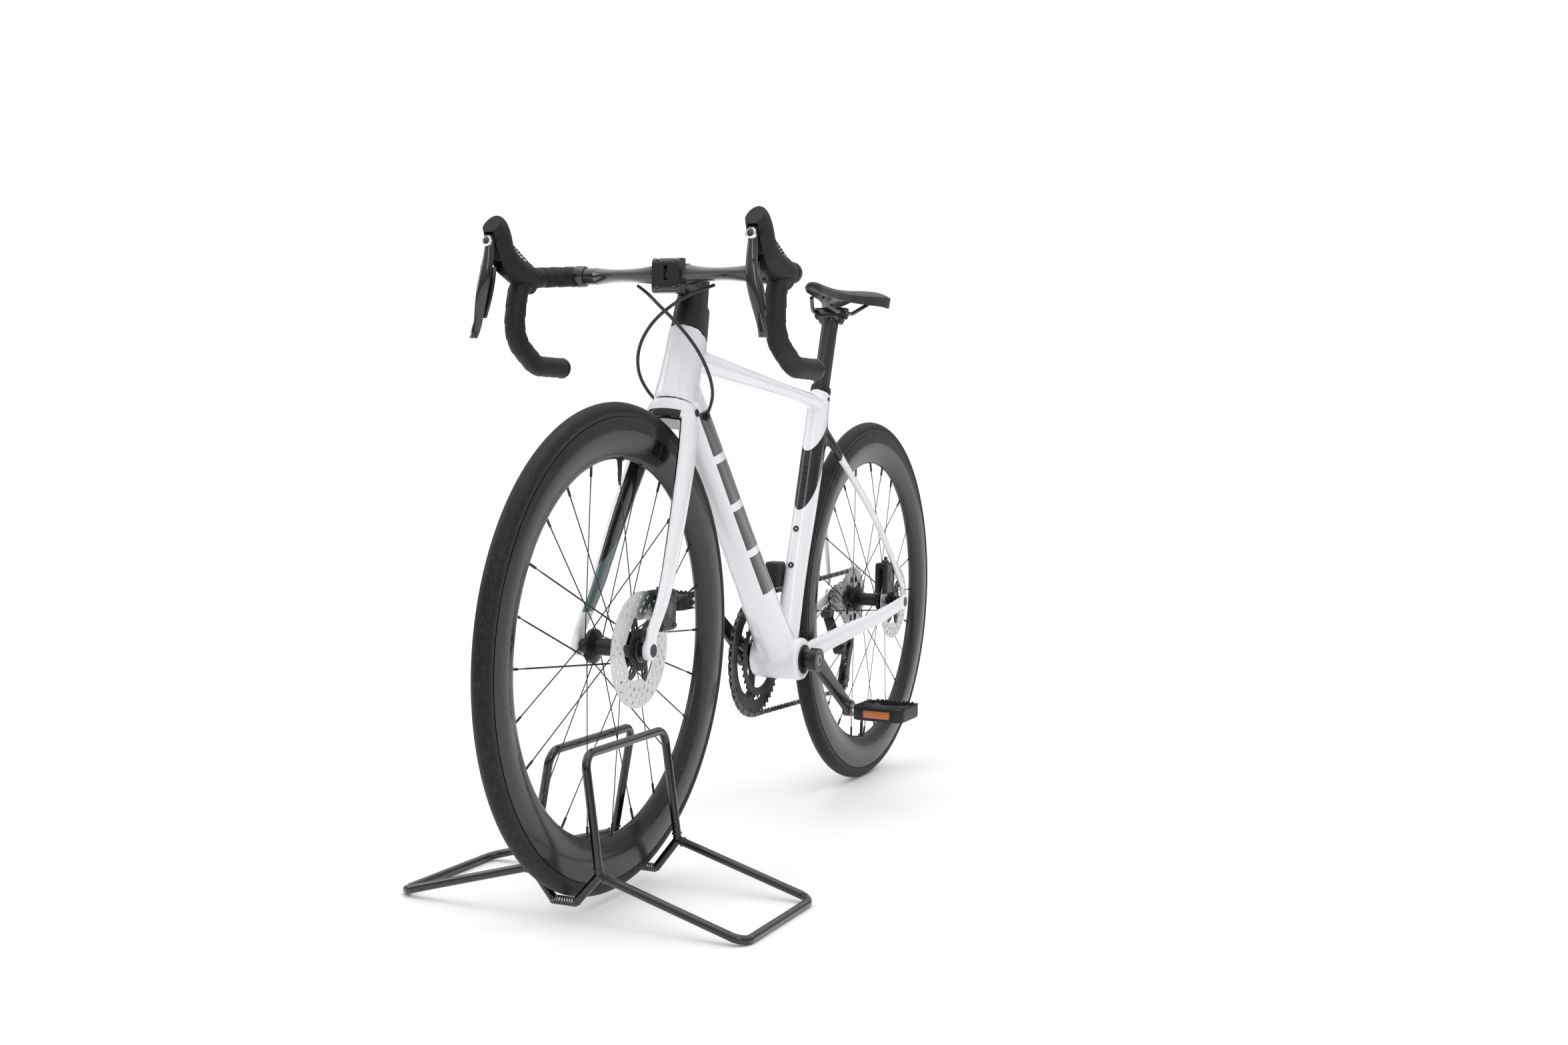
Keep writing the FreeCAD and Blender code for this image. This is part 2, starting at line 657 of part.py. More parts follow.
def hood(side):
    """Rubber-covered lever body with its raised horn."""
    pivot = lever_pivot(side)
    base = V(BAR_X + 66.0, side * (BAR_HALF_WIDTH + 0.5), BAR_Z - 6.0)
    wires = [
        section(base, V(0.35, 0, 0.94), Y_AXIS, 24.0, 26.0, 19.0),
        section(V(BAR_X + 100.0, pivot.y, BAR_Z + 4.0), V(0.05, 0, 1), Y_AXIS, 19.0, 24.0, 18.0),
        section(V(BAR_X + 128.0, pivot.y, BAR_Z + 18.0), V(-0.25, 0, 0.97), Y_AXIS, 22.0, 26.0, 17.0),
        section(V(pivot.x - 13.0, pivot.y, pivot.z + 6.0), V(-0.45, 0, 0.89), Y_AXIS, 30.0, 22.0, 16.0),
        section(V(pivot.x + 1.0, pivot.y, pivot.z + 21.0), V(-0.65, 0, 0.76), Y_AXIS, 20.0, 13.0, 13.0),
    ]
    body = loft(wires[:3]).fuse(loft(wires[2:]))
    body = body.cut(bent_rod(bar_path(side), BAR_BENDS, BAR_R + TAPE_T))
    low = V(pivot.x - 12.0, pivot.y - LEVER_SLOT_WIDTH / 2, pivot.z - 60.0)
    body = body.cut(Part.makeBox(52.0, LEVER_SLOT_WIDTH, 71.0, low))
    low = V(pivot.x - PADDLE_ROOM, pivot.y - LEVER_SLOT_WIDTH / 2, pivot.z - 60.0)
    body = body.cut(Part.makeBox(PADDLE_ROOM, LEVER_SLOT_WIDTH, 34.0, low))
    pin = rod(V(pivot.x, pivot.y - 12.0, pivot.z), V(pivot.x, pivot.y + 12.0, pivot.z), LEVER_PIN_R)
    return body.fuse(pin)


def brake_lever(side):
    """Lever blade, flared outwards to its tip."""
    pivot = lever_pivot(side)
    tip = V(pivot.x + 11.0, side * (BAR_HALF_WIDTH + 20.6), BAR_Z - LEVER_DROP)
    ahead = X_AXIS
    y = pivot.y
    blade = loft([
        section(V(pivot.x + 2.0, y, pivot.z + 7.0), ahead, Y_AXIS, 9.0, 8.0, 6.5),
        section(V(pivot.x + 3.0, y, pivot.z - 10.0), ahead, Y_AXIS, 10.0, 9.0, 6.5),
        section(V(pivot.x + 8.0, y + side * 1.0, pivot.z - 36.0), ahead, Y_AXIS, 9.0, 6.0, 8.0),
        section(V(pivot.x + 12.0, y + side * 6.0, pivot.z - 72.0), ahead, Y_AXIS, 7.0, 3.0, 9.0),
        section(V(pivot.x + 8.0, y + side * 14.0, pivot.z - 110.0), ahead, Y_AXIS, 6.0, 3.0, 7.0),
        section(V(tip.x, tip.y, tip.z + 4.0), ahead, Y_AXIS, 6.0, 5.0, 6.0),
    ])
    return blade.cut(rod(V(pivot.x, y - 20, pivot.z), V(pivot.x, y + 20, pivot.z), LEVER_PIN_R + RUNNING))


def paddle_pivot(side):
    """Top of the shift paddle, behind the lever blade."""
    pivot = lever_pivot(side)
    return V(pivot.x - 4.0, pivot.y, pivot.z - 40.0)


def shift_paddle(side):
    """Shift paddle behind the lever blade."""
    top = paddle_pivot(side)
    paddle = loft([
        section(top + V(0, 0, 3.0), X_AXIS, Y_AXIS, 4.5, 4.0, 6.0),
        section(top + V(1.0, side * 5.0, -28.0), X_AXIS, Y_AXIS, 3.5, 3.5, 8.0),
        section(top + V(4.0, side * 10.0, -52.0), X_AXIS, Y_AXIS, 3.0, 4.0, 9.0),
        section(top + V(3.0, side * 13.0, -68.0), X_AXIS, Y_AXIS, 2.5, 3.0, 6.0),
    ])
    return paddle.fuse(rod(top - X_AXIS * 5.3, top + X_AXIS * 5.3, PADDLE_PIN_R))


def front_caliper():
    """Front brake caliper: two halves over the disc, two pads and the mount to the blade."""
    near = V(FRONT_AXLE.x - 62.0, FRONT_ROTOR_Y, FRONT_AXLE.z + 44.0)
    pieces = caliper(near, FRONT_ROTOR_Y, 12.0)
    return [pieces[0].cut(fork_blade())] + pieces[1:]


def caliper(middle, disc_y, overhang):
    """Caliper body with a slot for the disc, and its two pads."""
    x = middle.x
    z = middle.z
    slot = DISC_SLOT_WIDTH / 2
    body = block(x - 26, x + 20, disc_y - 13, disc_y + overhang, z - 24, z + 34)
    body = body.makeFillet(5.0, body.Edges)
    body = body.cut(block(x - 60, x + 60, disc_y - slot, disc_y + slot, z - 60, z + 27))
    pad_t = slot - ROTOR_T / 2 - PAD_GAP
    pads = []
    for low in (disc_y + slot - pad_t, disc_y - slot):
        pads.append(block(x - 14, x + 12, low, low + pad_t, z - 10, z + 14))
    return [body] + pads


def front_brake_hose():
    """Hose from the fork blade's port to the front caliper."""
    tube = hose("front_brake_hose", [
        V(FRONT_AXLE.x - 92.0, 37.0, FRONT_AXLE.z + 172.0),
        V(FRONT_AXLE.x - 98.0, 34.5, FRONT_AXLE.z + 140.0),
        V(FRONT_AXLE.x - 94.0, 34.0, FRONT_AXLE.z + 108.0),
        V(FRONT_AXLE.x - 80.0, 34.5, FRONT_AXLE.z + 78.2),
    ])
    return tube.cut(fork_blade()).cut(front_caliper()[0])


# ---------------------------------------------------------------- frame

def head_tube_stations():
    """Outline stations of the head tube."""
    low = head_axis(HEAD_BOTTOM_Z)
    high = head_axis(HEAD_TOP_Z)
    return [(low, 29.5, 44.0, 29.5), ((low + high) * 0.5, 26.0, 58.0, 24.5), (high, 23.0, 60.0, 23.5)]


def head_tube():
    """Head tube with both bearing seats."""
    low = head_axis(HEAD_BOTTOM_Z)
    high = head_axis(HEAD_TOP_Z)
    body = sized_tube(head_tube_stations(), HEAD_AHEAD, Y_AXIS)
    body = body.cut(rod(low - HEAD_UP * 10, high + HEAD_UP * 10, HEAD_BORE_R))
    body = body.cut(rod(low - HEAD_UP * 10, low + HEAD_UP * 20, STEERER_BASE_R + 1.5))
    body = body.cut(rod(low - HEAD_UP * 10, low + HEAD_UP * BEARING_H, LOWER_BEARING_R))
    return body.cut(rod(high - HEAD_UP * BEARING_H, high + HEAD_UP * 10, UPPER_BEARING_R))


def headset_bearings():
    """Lower and upper headset bearings."""
    low = head_axis(HEAD_BOTTOM_Z)
    high = head_axis(HEAD_TOP_Z)
    lower = pipe(low, low + HEAD_UP * BEARING_H, LOWER_BEARING_R, STEERER_BASE_R + RUNNING)
    upper = pipe(high - HEAD_UP * BEARING_H, high, UPPER_BEARING_R, STEERER_R + RUNNING)
    return [lower, upper]


def head_tube_space():
    """Everything inside the head tube's outside, and the sweep of the fork crown below it."""
    low = head_axis(HEAD_BOTTOM_Z)
    space = sized_tube(head_tube_stations(), HEAD_AHEAD, Y_AXIS)
    return space.fuse(rod(low - HEAD_UP * 70, low, CROWN_SWEEP_R))


def seat_tube_stations():
    """Outline stations of the seat tube, deepest beside the top of the rear wheel."""
    return [
        (seat_axis(BB_Z + 20.0), 22.0, 22.0, 21.0),
        (seat_axis(BB_Z + SEAT_TUBE_HEIGHT * 0.288), 24.0, 25.0, 18.0),
        (seat_axis(BB_Z + SEAT_TUBE_HEIGHT * 0.554), 24.0, 36.0, 17.5),
        (seat_axis(BB_Z + SEAT_TUBE_HEIGHT * 0.798), 25.0, 40.0, 17.5),
        (seat_axis(SEAT_TUBE_TOP_Z - 30.0), POST_HALF_DEPTH + 5.0, POST_HALF_DEPTH + 8.0, 17.5),
        (seat_axis(SEAT_TUBE_TOP_Z), POST_HALF_DEPTH + 4.0, POST_HALF_DEPTH + 4.0, POST_HALF_WIDTH + 4.0),
    ]


def post_section(centre, clearance):
    """Outline of the seatpost, grown by a clearance."""
    half_depth = POST_HALF_DEPTH + clearance
    half_width = POST_HALF_WIDTH + clearance
    return section(centre, SEAT_AHEAD, Y_AXIS, half_depth, half_depth, half_width, 0.9)


def wheel_cutout():
    """Space that the rear wheel needs in the frame."""
    half = TYRE_WIDTH / 2 + WHEEL_CUTOUT_GAP
    return cross(REAR_AXLE, -half, half, TYRE_R + WHEEL_CUTOUT_GAP)


def seat_tube():
    """Seat tube, bored for the seatpost and cut back around the rear wheel."""
    body = sized_tube(seat_tube_stations(), SEAT_AHEAD, Y_AXIS)
    bottom = seat_axis(SEAT_TUBE_TOP_Z - POST_INSERT - 62.0)
    bore = loft([post_section(bottom, SIDE_GAP), post_section(seat_axis(SEAT_TUBE_TOP_Z + 6.0), SIDE_GAP)])
    body = body.cut(bore).cut(wheel_cutout()).cut(cross(BB, -60, 60, BB_SHELL_R))
    for mouth in boss_mouths():
        body = body.fuse(rod(mouth - SEAT_AHEAD * BOSS_HOLE_DEPTH, mouth, BOSS_R))
        body = body.cut(rod(mouth - SEAT_AHEAD * BOSS_HOLE_DEPTH, mouth, BOSS_HOLE_R))
    return body


def boss_mouths():
    """Mouths of the two threaded bottle bosses on the seat tube's front."""
    lower = seat_axis(BB_Z + BOSS_ABOVE_BB) + SEAT_AHEAD * (24.0 + BOSS_PROUD)
    return [lower, lower + SEAT_UP * BOSS_SPACING]


def down_tube():
    """Deep down tube from the head tube to the bottom bracket."""
    top_z = HEAD_BOTTOM_Z + 35.0
    top = V(head_axis(top_z).x - 2.0, 0, top_z)
    along = (top - BB).normalize()
    down = V(along.z, 0, -along.x)
    stations = [
        (BB + along * 18.0, 30.0, 30.0, 36.0),
        (BB + (top - BB) * 0.185, 31.0, 31.0, 29.0),
        (BB + (top - BB) * 0.505, 31.0, 31.0, 25.0),
        (BB + (top - BB) * 0.842, 31.0, 31.0, 24.0),
        (top, 30.0, 30.0, 22.0),
    ]
    body = hollow_tube(stations, down, Y_AXIS, TUBE_WALL, 0.85)
    body = body.cut(head_tube_space()).cut(cross(BB, -60, 60, BB_SHELL_R))
    return body.cut(sized_tube(seat_tube_stations(), SEAT_AHEAD, Y_AXIS))


def top_tube():
    """Top tube, sloping down to the seat tube."""
    front_z = HEAD_BOTTOM_Z + 68.0
    rear_z = SEAT_TUBE_TOP_Z - 19.0
    front = V(head_axis(front_z + 3.0).x, 0, front_z)
    rear = V(seat_axis(rear_z + 1.0).x, 0, rear_z)
    stations = [
        (rear, 11.5, 11.5, 14.5),
        (rear + (front - rear) * 0.35, 12.5, 12.5, 16.0),
        (rear + (front - rear) * 0.8, 16.5, 18.0, 19.0),
        (front, 19.0, 21.0, 20.0),
    ]
    body = hollow_tube(stations, Z_AXIS, Y_AXIS, TUBE_WALL, 0.8)
    body = body.cut(sized_tube(head_tube_stations(), HEAD_AHEAD, Y_AXIS))
    return body.cut(sized_tube(seat_tube_stations(), SEAT_AHEAD, Y_AXIS))


def bb_shell():
    """Bottom bracket shell."""
    shell = cross(BB, -BB_SHELL_HALF, BB_SHELL_HALF, BB_SHELL_R)
    shell = shell.makeFillet(5.0, shell.Edges[:1] + shell.Edges[2:])
    return shell.cut(cross(BB, -60, 60, BB_BORE_R))


def bb_bearings():
    """The two bottom bracket bearings."""
    rings = []
    for side in (1, -1):
        outer = side * (BB_SHELL_HALF - 1.0)
        inner = side * (BB_SHELL_HALF - 1.0 - BB_BEARING_T)
        ring = cross(BB, min(outer, inner), max(outer, inner), BB_BORE_R)
        rings.append(ring.cut(cross(BB, -60, 60, SPINDLE_R + RUNNING)))
    return rings


def chainstay():
    """Left chainstay and its dropout."""
    tip = V(REAR_AXLE.x + 14.0, REAR_HUB_HALF + 4.0, REAR_AXLE.z - 2.0)
    stay = loft([
        section(V(BB_X - 26.0, 29.0, BB_Z - 2.0), Z_AXIS, Y_AXIS, 24.0, 22.0, 9.5),
        section(V(BB_X - 105.0, 28.5, BB_Z + 10.0), Z_AXIS, Y_AXIS, 19.0, 19.0, 8.0),
        section(V(REAR_AXLE.x + 223.0, 40.0, REAR_AXLE.z - 42.0), Z_AXIS, Y_AXIS, 17.0, 17.0, 8.0),
        section(V(REAR_AXLE.x + 98.0, 64.0, REAR_AXLE.z - 20.0), Z_AXIS, Y_AXIS, 15.0, 15.0, 7.0),
        section(tip, Z_AXIS, Y_AXIS, 14.0, 14.0, 4.0),
    ])
    dropout = cross(REAR_AXLE, REAR_HUB_HALF, REAR_HUB_HALF + DROPOUT_T, 16.0)
    stay = stay.fuse(dropout).cut(cross(REAR_AXLE, 0, 100, AXLE_R))
    x = REAR_AXLE.x
    stay = stay.cut(block(x - 30, x + 34, 0, REAR_HUB_HALF, REAR_AXLE.z - 40, REAR_AXLE.z + 40))
    stay = stay.cut(axle(REAR_AXLE, REAR_HUB_HALF + DROPOUT_T, 9.0))
    return stay.cut(cross(BB, -60, 60, BB_SHELL_R)).cut(wheel_cutout())


def chainstays():
    """Both chainstays; the seat tube's foot lies between them."""
    left = chainstay().cut(sized_tube(seat_tube_stations(), SEAT_AHEAD, Y_AXIS))
    return [left, mirror_y(left)]


def seatstays():
    """Dropped seatstays from the seat tube to the dropouts."""
    root = seat_axis(SEAT_TUBE_TOP_Z - 82.0)
    foot = V(REAR_AXLE.x + 3.0, REAR_HUB_HALF + 4.0, REAR_AXLE.z + 26.0)
    slope = V(0.75, 0, -0.66)
    stay = loft([
        section(V(root.x - 24.0, 10.0, root.z + 12.0), slope, Y_AXIS, 13.0, 13.0, 6.5),
        section(V(root.x - 62.0, 25.0, root.z - 30.0), slope, Y_AXIS, 9.5, 9.5, 6.0),
        section(V(REAR_AXLE.x + 91.0, 53.0, REAR_AXLE.z + 149.0), slope, Y_AXIS, 8.0, 8.0, 5.5),
        section(foot, slope, Y_AXIS, 8.5, 8.5, 4.0),
    ])
    stay = stay.cut(sized_tube(seat_tube_stations(), SEAT_AHEAD, Y_AXIS))
    stay = stay.cut(wheel_cutout()).cut(chainstay())
    return [stay, mirror_y(stay)]


def seat_clamp():
    """Thin collar around the seatpost on top of the seat tube."""
    low = seat_axis(SEAT_TUBE_TOP_Z)
    high = low + SEAT_UP * COLLAR_H
    ring = loft([post_section(low, COLLAR_WALL), post_section(high, COLLAR_WALL - 0.8)])
    bore = loft([post_section(low - SEAT_UP * 5, SIDE_GAP), post_section(high + SEAT_UP * 5, SIDE_GAP)])
    return ring.cut(bore)


def rear_caliper():
    """Rear brake caliper on the left chainstay."""
    pieces = caliper(V(REAR_AXLE.x + 52.0, REAR_ROTOR_Y, REAR_AXLE.z + 42.0), REAR_ROTOR_Y, 11.5)
    return [pieces[0].cut(seatstays()[0])] + pieces[1:]


# ---------------------------------------------------------------- drivetrain

def directed_tangent(centre_a, radius_a, centre_b, radius_b):
    """Tangent points between two circles in the XZ plane; a negative radius is passed clockwise."""
    dx = centre_b.x - centre_a.x
    dz = centre_b.z - centre_a.z
    turn = math.atan2(dz, dx) - math.asin((radius_b - radius_a) / math.hypot(dx, dz))
    left_x = -math.sin(turn)
    left_z = math.cos(turn)
    point_a = V(centre_a.x - left_x * radius_a, 0, centre_a.z - left_z * radius_a)
    point_b = V(centre_b.x - left_x * radius_b, 0, centre_b.z - left_z * radius_b)
    return point_a, point_b


def cog_y(index):
    """Y of a rear cog's middle plane."""
    return -(BIG_COG_Y + COG_PITCH * index)


def guide_pulley_centre():
    """Centre of the upper jockey wheel."""
    return V(REAR_AXLE.x + GUIDE_PULLEY_DX, 0, REAR_AXLE.z + GUIDE_PULLEY_DZ)


def tension_pulley_centre():
    """Centre of the lower jockey wheel."""
    return V(REAR_AXLE.x + TENSION_PULLEY_DX, 0, REAR_AXLE.z + TENSION_PULLEY_DZ)


def chain_wheels():
    """Wheels that the chain passes, as centre, signed radius and plane."""
    back = cog_y(COG_IN_USE)
    pulley = pitch_radius(PULLEY_TEETH)
    return [
        (BB, pitch_radius(BIG_RING_TEETH), -CHAIN_LINE),
        (REAR_AXLE, pitch_radius(COG_TEETH[COG_IN_USE]), back),
        (guide_pulley_centre(), -pulley, back),
        (tension_pulley_centre(), pulley, back),
    ]


def plate_run(start, end):
    """Side plates of the chain along a straight stretch."""
    along = end - start
    up = V(-along.z, 0, along.x).normalize() * CHAIN_HALF_HEIGHT
    plates = []
    for side in (1, -1):
        shift = Y_AXIS * (side * CHAIN_PLATE_Y - CHAIN_PLATE_T / 2)
        corners = [start + shift - up, start + shift + up, end + shift + up, end + shift - up]
        plates.append(Part.Face(Part.makePolygon(corners + [corners[0]])).extrude(Y_AXIS * CHAIN_PLATE_T))
    return plates


def plate_wrap(centre, radius, y, enter, leave):
    """Side plates of the chain around a wheel, from one tangent point to the next."""
    turn = 1 if radius > 0 else -1
    size = abs(radius)
    first = math.atan2(enter.z - centre.z, enter.x - centre.x)
    last = math.atan2(leave.z - centre.z, leave.x - centre.x)
    sweep = (last - first) * turn % (2 * math.pi)
    hub_point = V(centre.x, 0, centre.z)
    plates = []
    for side in (1, -1):
        low = y + side * CHAIN_PLATE_Y - CHAIN_PLATE_T / 2
        corners = []
        for reach, height in ((-1, 0), (1, 0), (1, 1), (-1, 1)):
            x = centre.x + size + reach * CHAIN_HALF_HEIGHT
            corners.append(V(x, low + height * CHAIN_PLATE_T, centre.z))
        face = Part.Face(Part.makePolygon(corners + [corners[0]]))
        face.rotate(hub_point, Y_AXIS, -math.degrees(first))
        plates.append(face.revolve(hub_point, Y_AXIS * -turn, math.degrees(sweep)))
    return plates


def chain():
    """Closed chain: side plates along the whole way, joined by pins on the free runs."""
    wheels = chain_wheels()
    tangents = []
    for index, (centre, radius, _) in enumerate(wheels):
        following = wheels[(index + 1) % len(wheels)]
        tangents.append(directed_tangent(centre, radius, following[0], following[1]))
    plates = []
    pins = []
    for index, (centre, radius, y) in enumerate(wheels):
        next_y = wheels[(index + 1) % len(wheels)][2]
        leave, arrive = tangents[index]
        enter = tangents[index - 1][1]
        plates += plate_wrap(centre, radius, y, enter, leave)
        points = [V(leave.x, y, leave.z), V(arrive.x, next_y, arrive.z)]
        if next_y != y:
            along = (arrive - leave).normalize() * CHAIN_STRAIGHT_LEAD
            points = [points[0], points[0] + along, points[1] - along, points[1]]
        for start, end in zip(points, points[1:]):
            plates += plate_run(start, end)
        middle = (points[0] + points[-1]) * 0.5
        half_pin = Y_AXIS * (CHAIN_PLATE_Y + 0.4)
        pins.append(rod(middle - half_pin, middle + half_pin, CHAIN_PIN_R))
    return plates[0].multiFuse(plates[1:] + pins)


def toothed_disc(centre, y, teeth, thickness, hole):
    """Sprocket cut to the chain's pitch, its rollers' seats taken out of the rim."""
    radius = pitch_radius(teeth)
    disc = cross(centre, y - thickness / 2, y + thickness / 2, radius + 2.0)
    disc = disc.cut(cross(centre, y - 5, y + 5, hole))
    seats = []
    for index in range(teeth):
        angle = 2 * math.pi * (index + 0.5) / teeth
        seat = centre + polar(radius + 0.8, angle)
        seats.append(cross(seat, y - thickness, y + thickness, CHAIN_PITCH * 0.27))
    return disc.cut(Part.makeCompound(seats))


def chainrings():
    """Big and small chainring."""
    big = toothed_disc(BB, -CHAIN_LINE, BIG_RING_TEETH, RING_T, SPIDER_R + 14.0)
    small = toothed_disc(BB, -CHAIN_LINE + RING_STEP, SMALL_RING_TEETH, RING_T, SPIDER_R - 7.0)
    return [big, small]


def spider():
    """Four-armed spider between the right crank and the rings, with the ring bolts."""
    plate = cross(BB, -CHAIN_LINE - 9.0, -CHAIN_LINE - 2.5, 27.0)
    face_y = -CHAIN_LINE - 6.5
    for degrees in (28.0, 98.0, 208.0, 278.0):
        arm = block(15.0, SPIDER_R + 18.0, face_y, face_y + 4.0, -10.0, 10.0)
        arm = arm.fuse(block(SPIDER_R + 8.0, SPIDER_R + 22.0, face_y, -CHAIN_LINE - RING_T / 2, -10.0, 10.0))
        reach = V(SPIDER_R, 0, 0)
        arm = arm.fuse(cross(reach, face_y, -CHAIN_LINE + RING_STEP - RING_T / 2, 6.0))
        arm.rotate(V(0, 0, 0), Y_AXIS, -degrees)
        arm.translate(BB)
        plate = plate.fuse(arm)
    return plate.cut(cross(BB, -100, 0, SPINDLE_R))


def crank_arm(end, side):
    """Crank arm from the spindle boss to the pedal eye."""
    mid = (BB + end) * 0.5
    along = (end - BB).normalize()
    across = V(-along.z, 0, along.x)
    inner = side * CRANK_BOSS_Y
    outer_y = side * (CRANK_END_Y + CRANK_END_T / 2)
    stations = [
        (BB + along * 6.0, inner + side * CRANK_BOSS_T / 2, CRANK_BOSS_R - 2.0, CRANK_BOSS_T / 2),
        (mid, (inner + side * CRANK_BOSS_T / 2 + outer_y) / 2, 13.5, CRANK_BOSS_T / 2 - 0.8),
        (end - along * 4.0, outer_y, CRANK_END_R - 1.0, CRANK_END_T / 2 - 0.5),
    ]
    wires = []
    for place, y, deep, half in stations:
        wires.append(section(V(place.x, y, place.z), across, Y_AXIS, deep, deep, half, 0.7))
    arm = loft(wires)
    boss = cross(BB, inner, inner + side * CRANK_BOSS_T, CRANK_BOSS_R)
    eye = cross(end, side * CRANK_END_Y, side * (CRANK_END_Y + CRANK_END_T), CRANK_END_R)
    arm = arm.fuse(boss).fuse(eye)
    return arm.cut(cross(end, -100, 100, PEDAL_AXLE_R))


def right_crank():
    """Right crank with the spindle and spider."""
    spindle = cross(BB, -CRANK_BOSS_Y - CRANK_BOSS_T, CRANK_BOSS_Y + CRANK_BOSS_T - 1.0, SPINDLE_R)
    return crank_arm(RIGHT_CRANK_END, -1).fuse(spindle).fuse(spider())


def left_crank():
    """Left crank clamped on the spindle."""
    return crank_arm(LEFT_CRANK_END, 1).cut(cross(BB, 0, 120, SPINDLE_R))


def pedal(end, side):
    """Pedal body turning on its axle."""
    middle = V(end.x, side * (PEDAL_INNER_Y + PEDAL_WIDTH / 2), end.z)
    corner = middle - V(PEDAL_LENGTH, PEDAL_WIDTH, PEDAL_HEIGHT) * 0.5
    body = Part.makeBox(PEDAL_LENGTH, PEDAL_WIDTH, PEDAL_HEIGHT, corner)
    upright_edges = [edge for edge in body.Edges if abs(edge.BoundBox.ZLength - PEDAL_HEIGHT) < 0.1]
    body = body.makeFillet(12.0, upright_edges)
    bar = 2 * PEDAL_AXLE_R + 18.0
    opening_length = (PEDAL_LENGTH - bar) / 2 - PEDAL_CAGE_T
    opening_width = PEDAL_WIDTH - 2 * PEDAL_CAGE_T
    for low in (bar / 2, -bar / 2 - opening_length):
        corner = middle + V(low, -opening_width / 2, -PEDAL_HEIGHT)
        body = body.cut(Part.makeBox(opening_length, opening_width, 2 * PEDAL_HEIGHT, corner))
    return body.cut(cross(end, -300, 300, PEDAL_AXLE_R + RUNNING))


def pedal_axle(end, side):
    """Pedal axle screwed into the crank's eye."""
    near = side * CRANK_END_Y
    far = side * (PEDAL_INNER_Y + PEDAL_WIDTH - 4.0)
    collar = cross(end, side * (CRANK_END_Y + CRANK_END_T), side * (PEDAL_INNER_Y - 1.0), 8.5)
    return cross(end, near, far, PEDAL_AXLE_R).fuse(collar)


def cassette():
    """Freehub body with eleven cogs and the lockring."""
    body = cross(REAR_AXLE, -REAR_HUB_HALF + 0.3, -REAR_FLANGE_RIGHT - 4.6, 17.0)
    for index, teeth in enumerate(COG_TEETH):
        radius = pitch_radius(teeth) + 1.5
        y = cog_y(index)
        body = body.fuse(cross(REAR_AXLE, y - COG_T / 2, y + COG_T / 2, radius))
    body = body.fuse(cross(REAR_AXLE, -REAR_HUB_HALF + 2.0, cog_y(len(COG_TEETH) - 1), 19.0))
    return body.cut(cross(REAR_AXLE, -100, 0, AXLE_R + RUNNING))


def jockey_wheel(centre):
    """Toothed pulley on its own bolt."""
    return toothed_disc(centre, cog_y(COG_IN_USE), PULLEY_TEETH, PULLEY_T, 3.0 + RUNNING)


def rear_derailleur():
    """Derailleur body, parallelogram and cage with the pulley bolts."""
    guide = guide_pulley_centre()
    tension = tension_pulley_centre()
    plane = cog_y(COG_IN_USE)
    along = (tension - guide).normalize()
    across = V(-along.z, 0, along.x)
    cage = []
    for low in (plane - 7.0, plane + 5.0):
        outline = [
            guide - along * 12 - across * 8, guide - along * 12 + across * 8,
            tension + along * 14 + across * 9, tension + along * 14 - across * 9,
        ]
        points = [V(p.x, low, p.z) for p in outline]
        cage.append(Part.Face(Part.makePolygon(points + [points[0]])).extrude(Y_AXIS * 2.0))
    shape = cage[0].fuse(cage[1])
    for centre in (guide, tension):
        shape = shape.fuse(cross(centre, plane - 7.0, plane + 7.0, 3.0))
    knuckle = cross(guide + V(4, 0, -6), plane - 24.0, plane - 7.0, 15.0)
    hanger = V(REAR_AXLE.x - 6.0, 0, REAR_AXLE.z - 31.0)
    upper = cross(hanger, -REAR_HUB_HALF - 20.0, -REAR_HUB_HALF - 0.5, 11.0)
    link = loft([
        section(V(hanger.x - 6, -REAR_HUB_HALF - 12, hanger.z - 6), Y_AXIS, Z_AXIS, 10.0, 10.0, 13.0),
        section(V(guide.x - 2, plane - 22, guide.z - 8), Y_AXIS, Z_AXIS, 11.0, 11.0, 14.0),
    ])
    outside = -REAR_HUB_HALF - 0.5
    tab = block(hanger.x - 8, hanger.x + 10, outside - 7.0, outside, hanger.z - 8, REAR_AXLE.z - 15.5)
    return shape.fuse(knuckle).fuse(link).fuse(upper).fuse(tab.cut(mirror_y(chainstay())))


def front_derailleur():
    """Front derailleur on the seat tube, its cage around the chain."""
    top = pitch_radius(BIG_RING_TEETH) + BB_Z
    x = BB_X - 26.0
    outer = block(x - 38, x + 22, -CHAIN_LINE - 6.0, -CHAIN_LINE - 4.5, top + 3.0, top + 26.0)
    inner = block(x - 38, x + 22, -CHAIN_LINE + 5.0, -CHAIN_LINE + 6.5, top - 4.0, top + 26.0)
    bridge = block(x - 38, x - 26, -CHAIN_LINE - 6.0, -CHAIN_LINE + 6.5, top + 23.0, top + 26.0)
    body = block(x - 22, x + 10, -CHAIN_LINE + 5.0, -13.0, top + 14.0, top + 58.0)
    body = body.makeFillet(5.0, body.Edges)
    shape = outer.fuse(inner).fuse(bridge).fuse(body)
    return shape.cut(sized_tube(seat_tube_stations(), SEAT_AHEAD, Y_AXIS))


# ---------------------------------------------------------------- seatpost and saddle

def seatpost():
    """Aero seatpost."""
    low = seat_axis(SEAT_TUBE_TOP_Z - POST_INSERT)
    high = seat_axis(POST_TOP_Z)
    body = loft([post_section(low, 0.0), post_section(high, 0.0)])
    return body.cut(cross(V(saddle_clamp_centre().x, 0, RAIL_Z), -60, 60, 13.0))


def saddle_clamp_centre():
    """Middle of the rail clamp."""
    return V(seat_axis(RAIL_Z).x, 0, RAIL_Z)


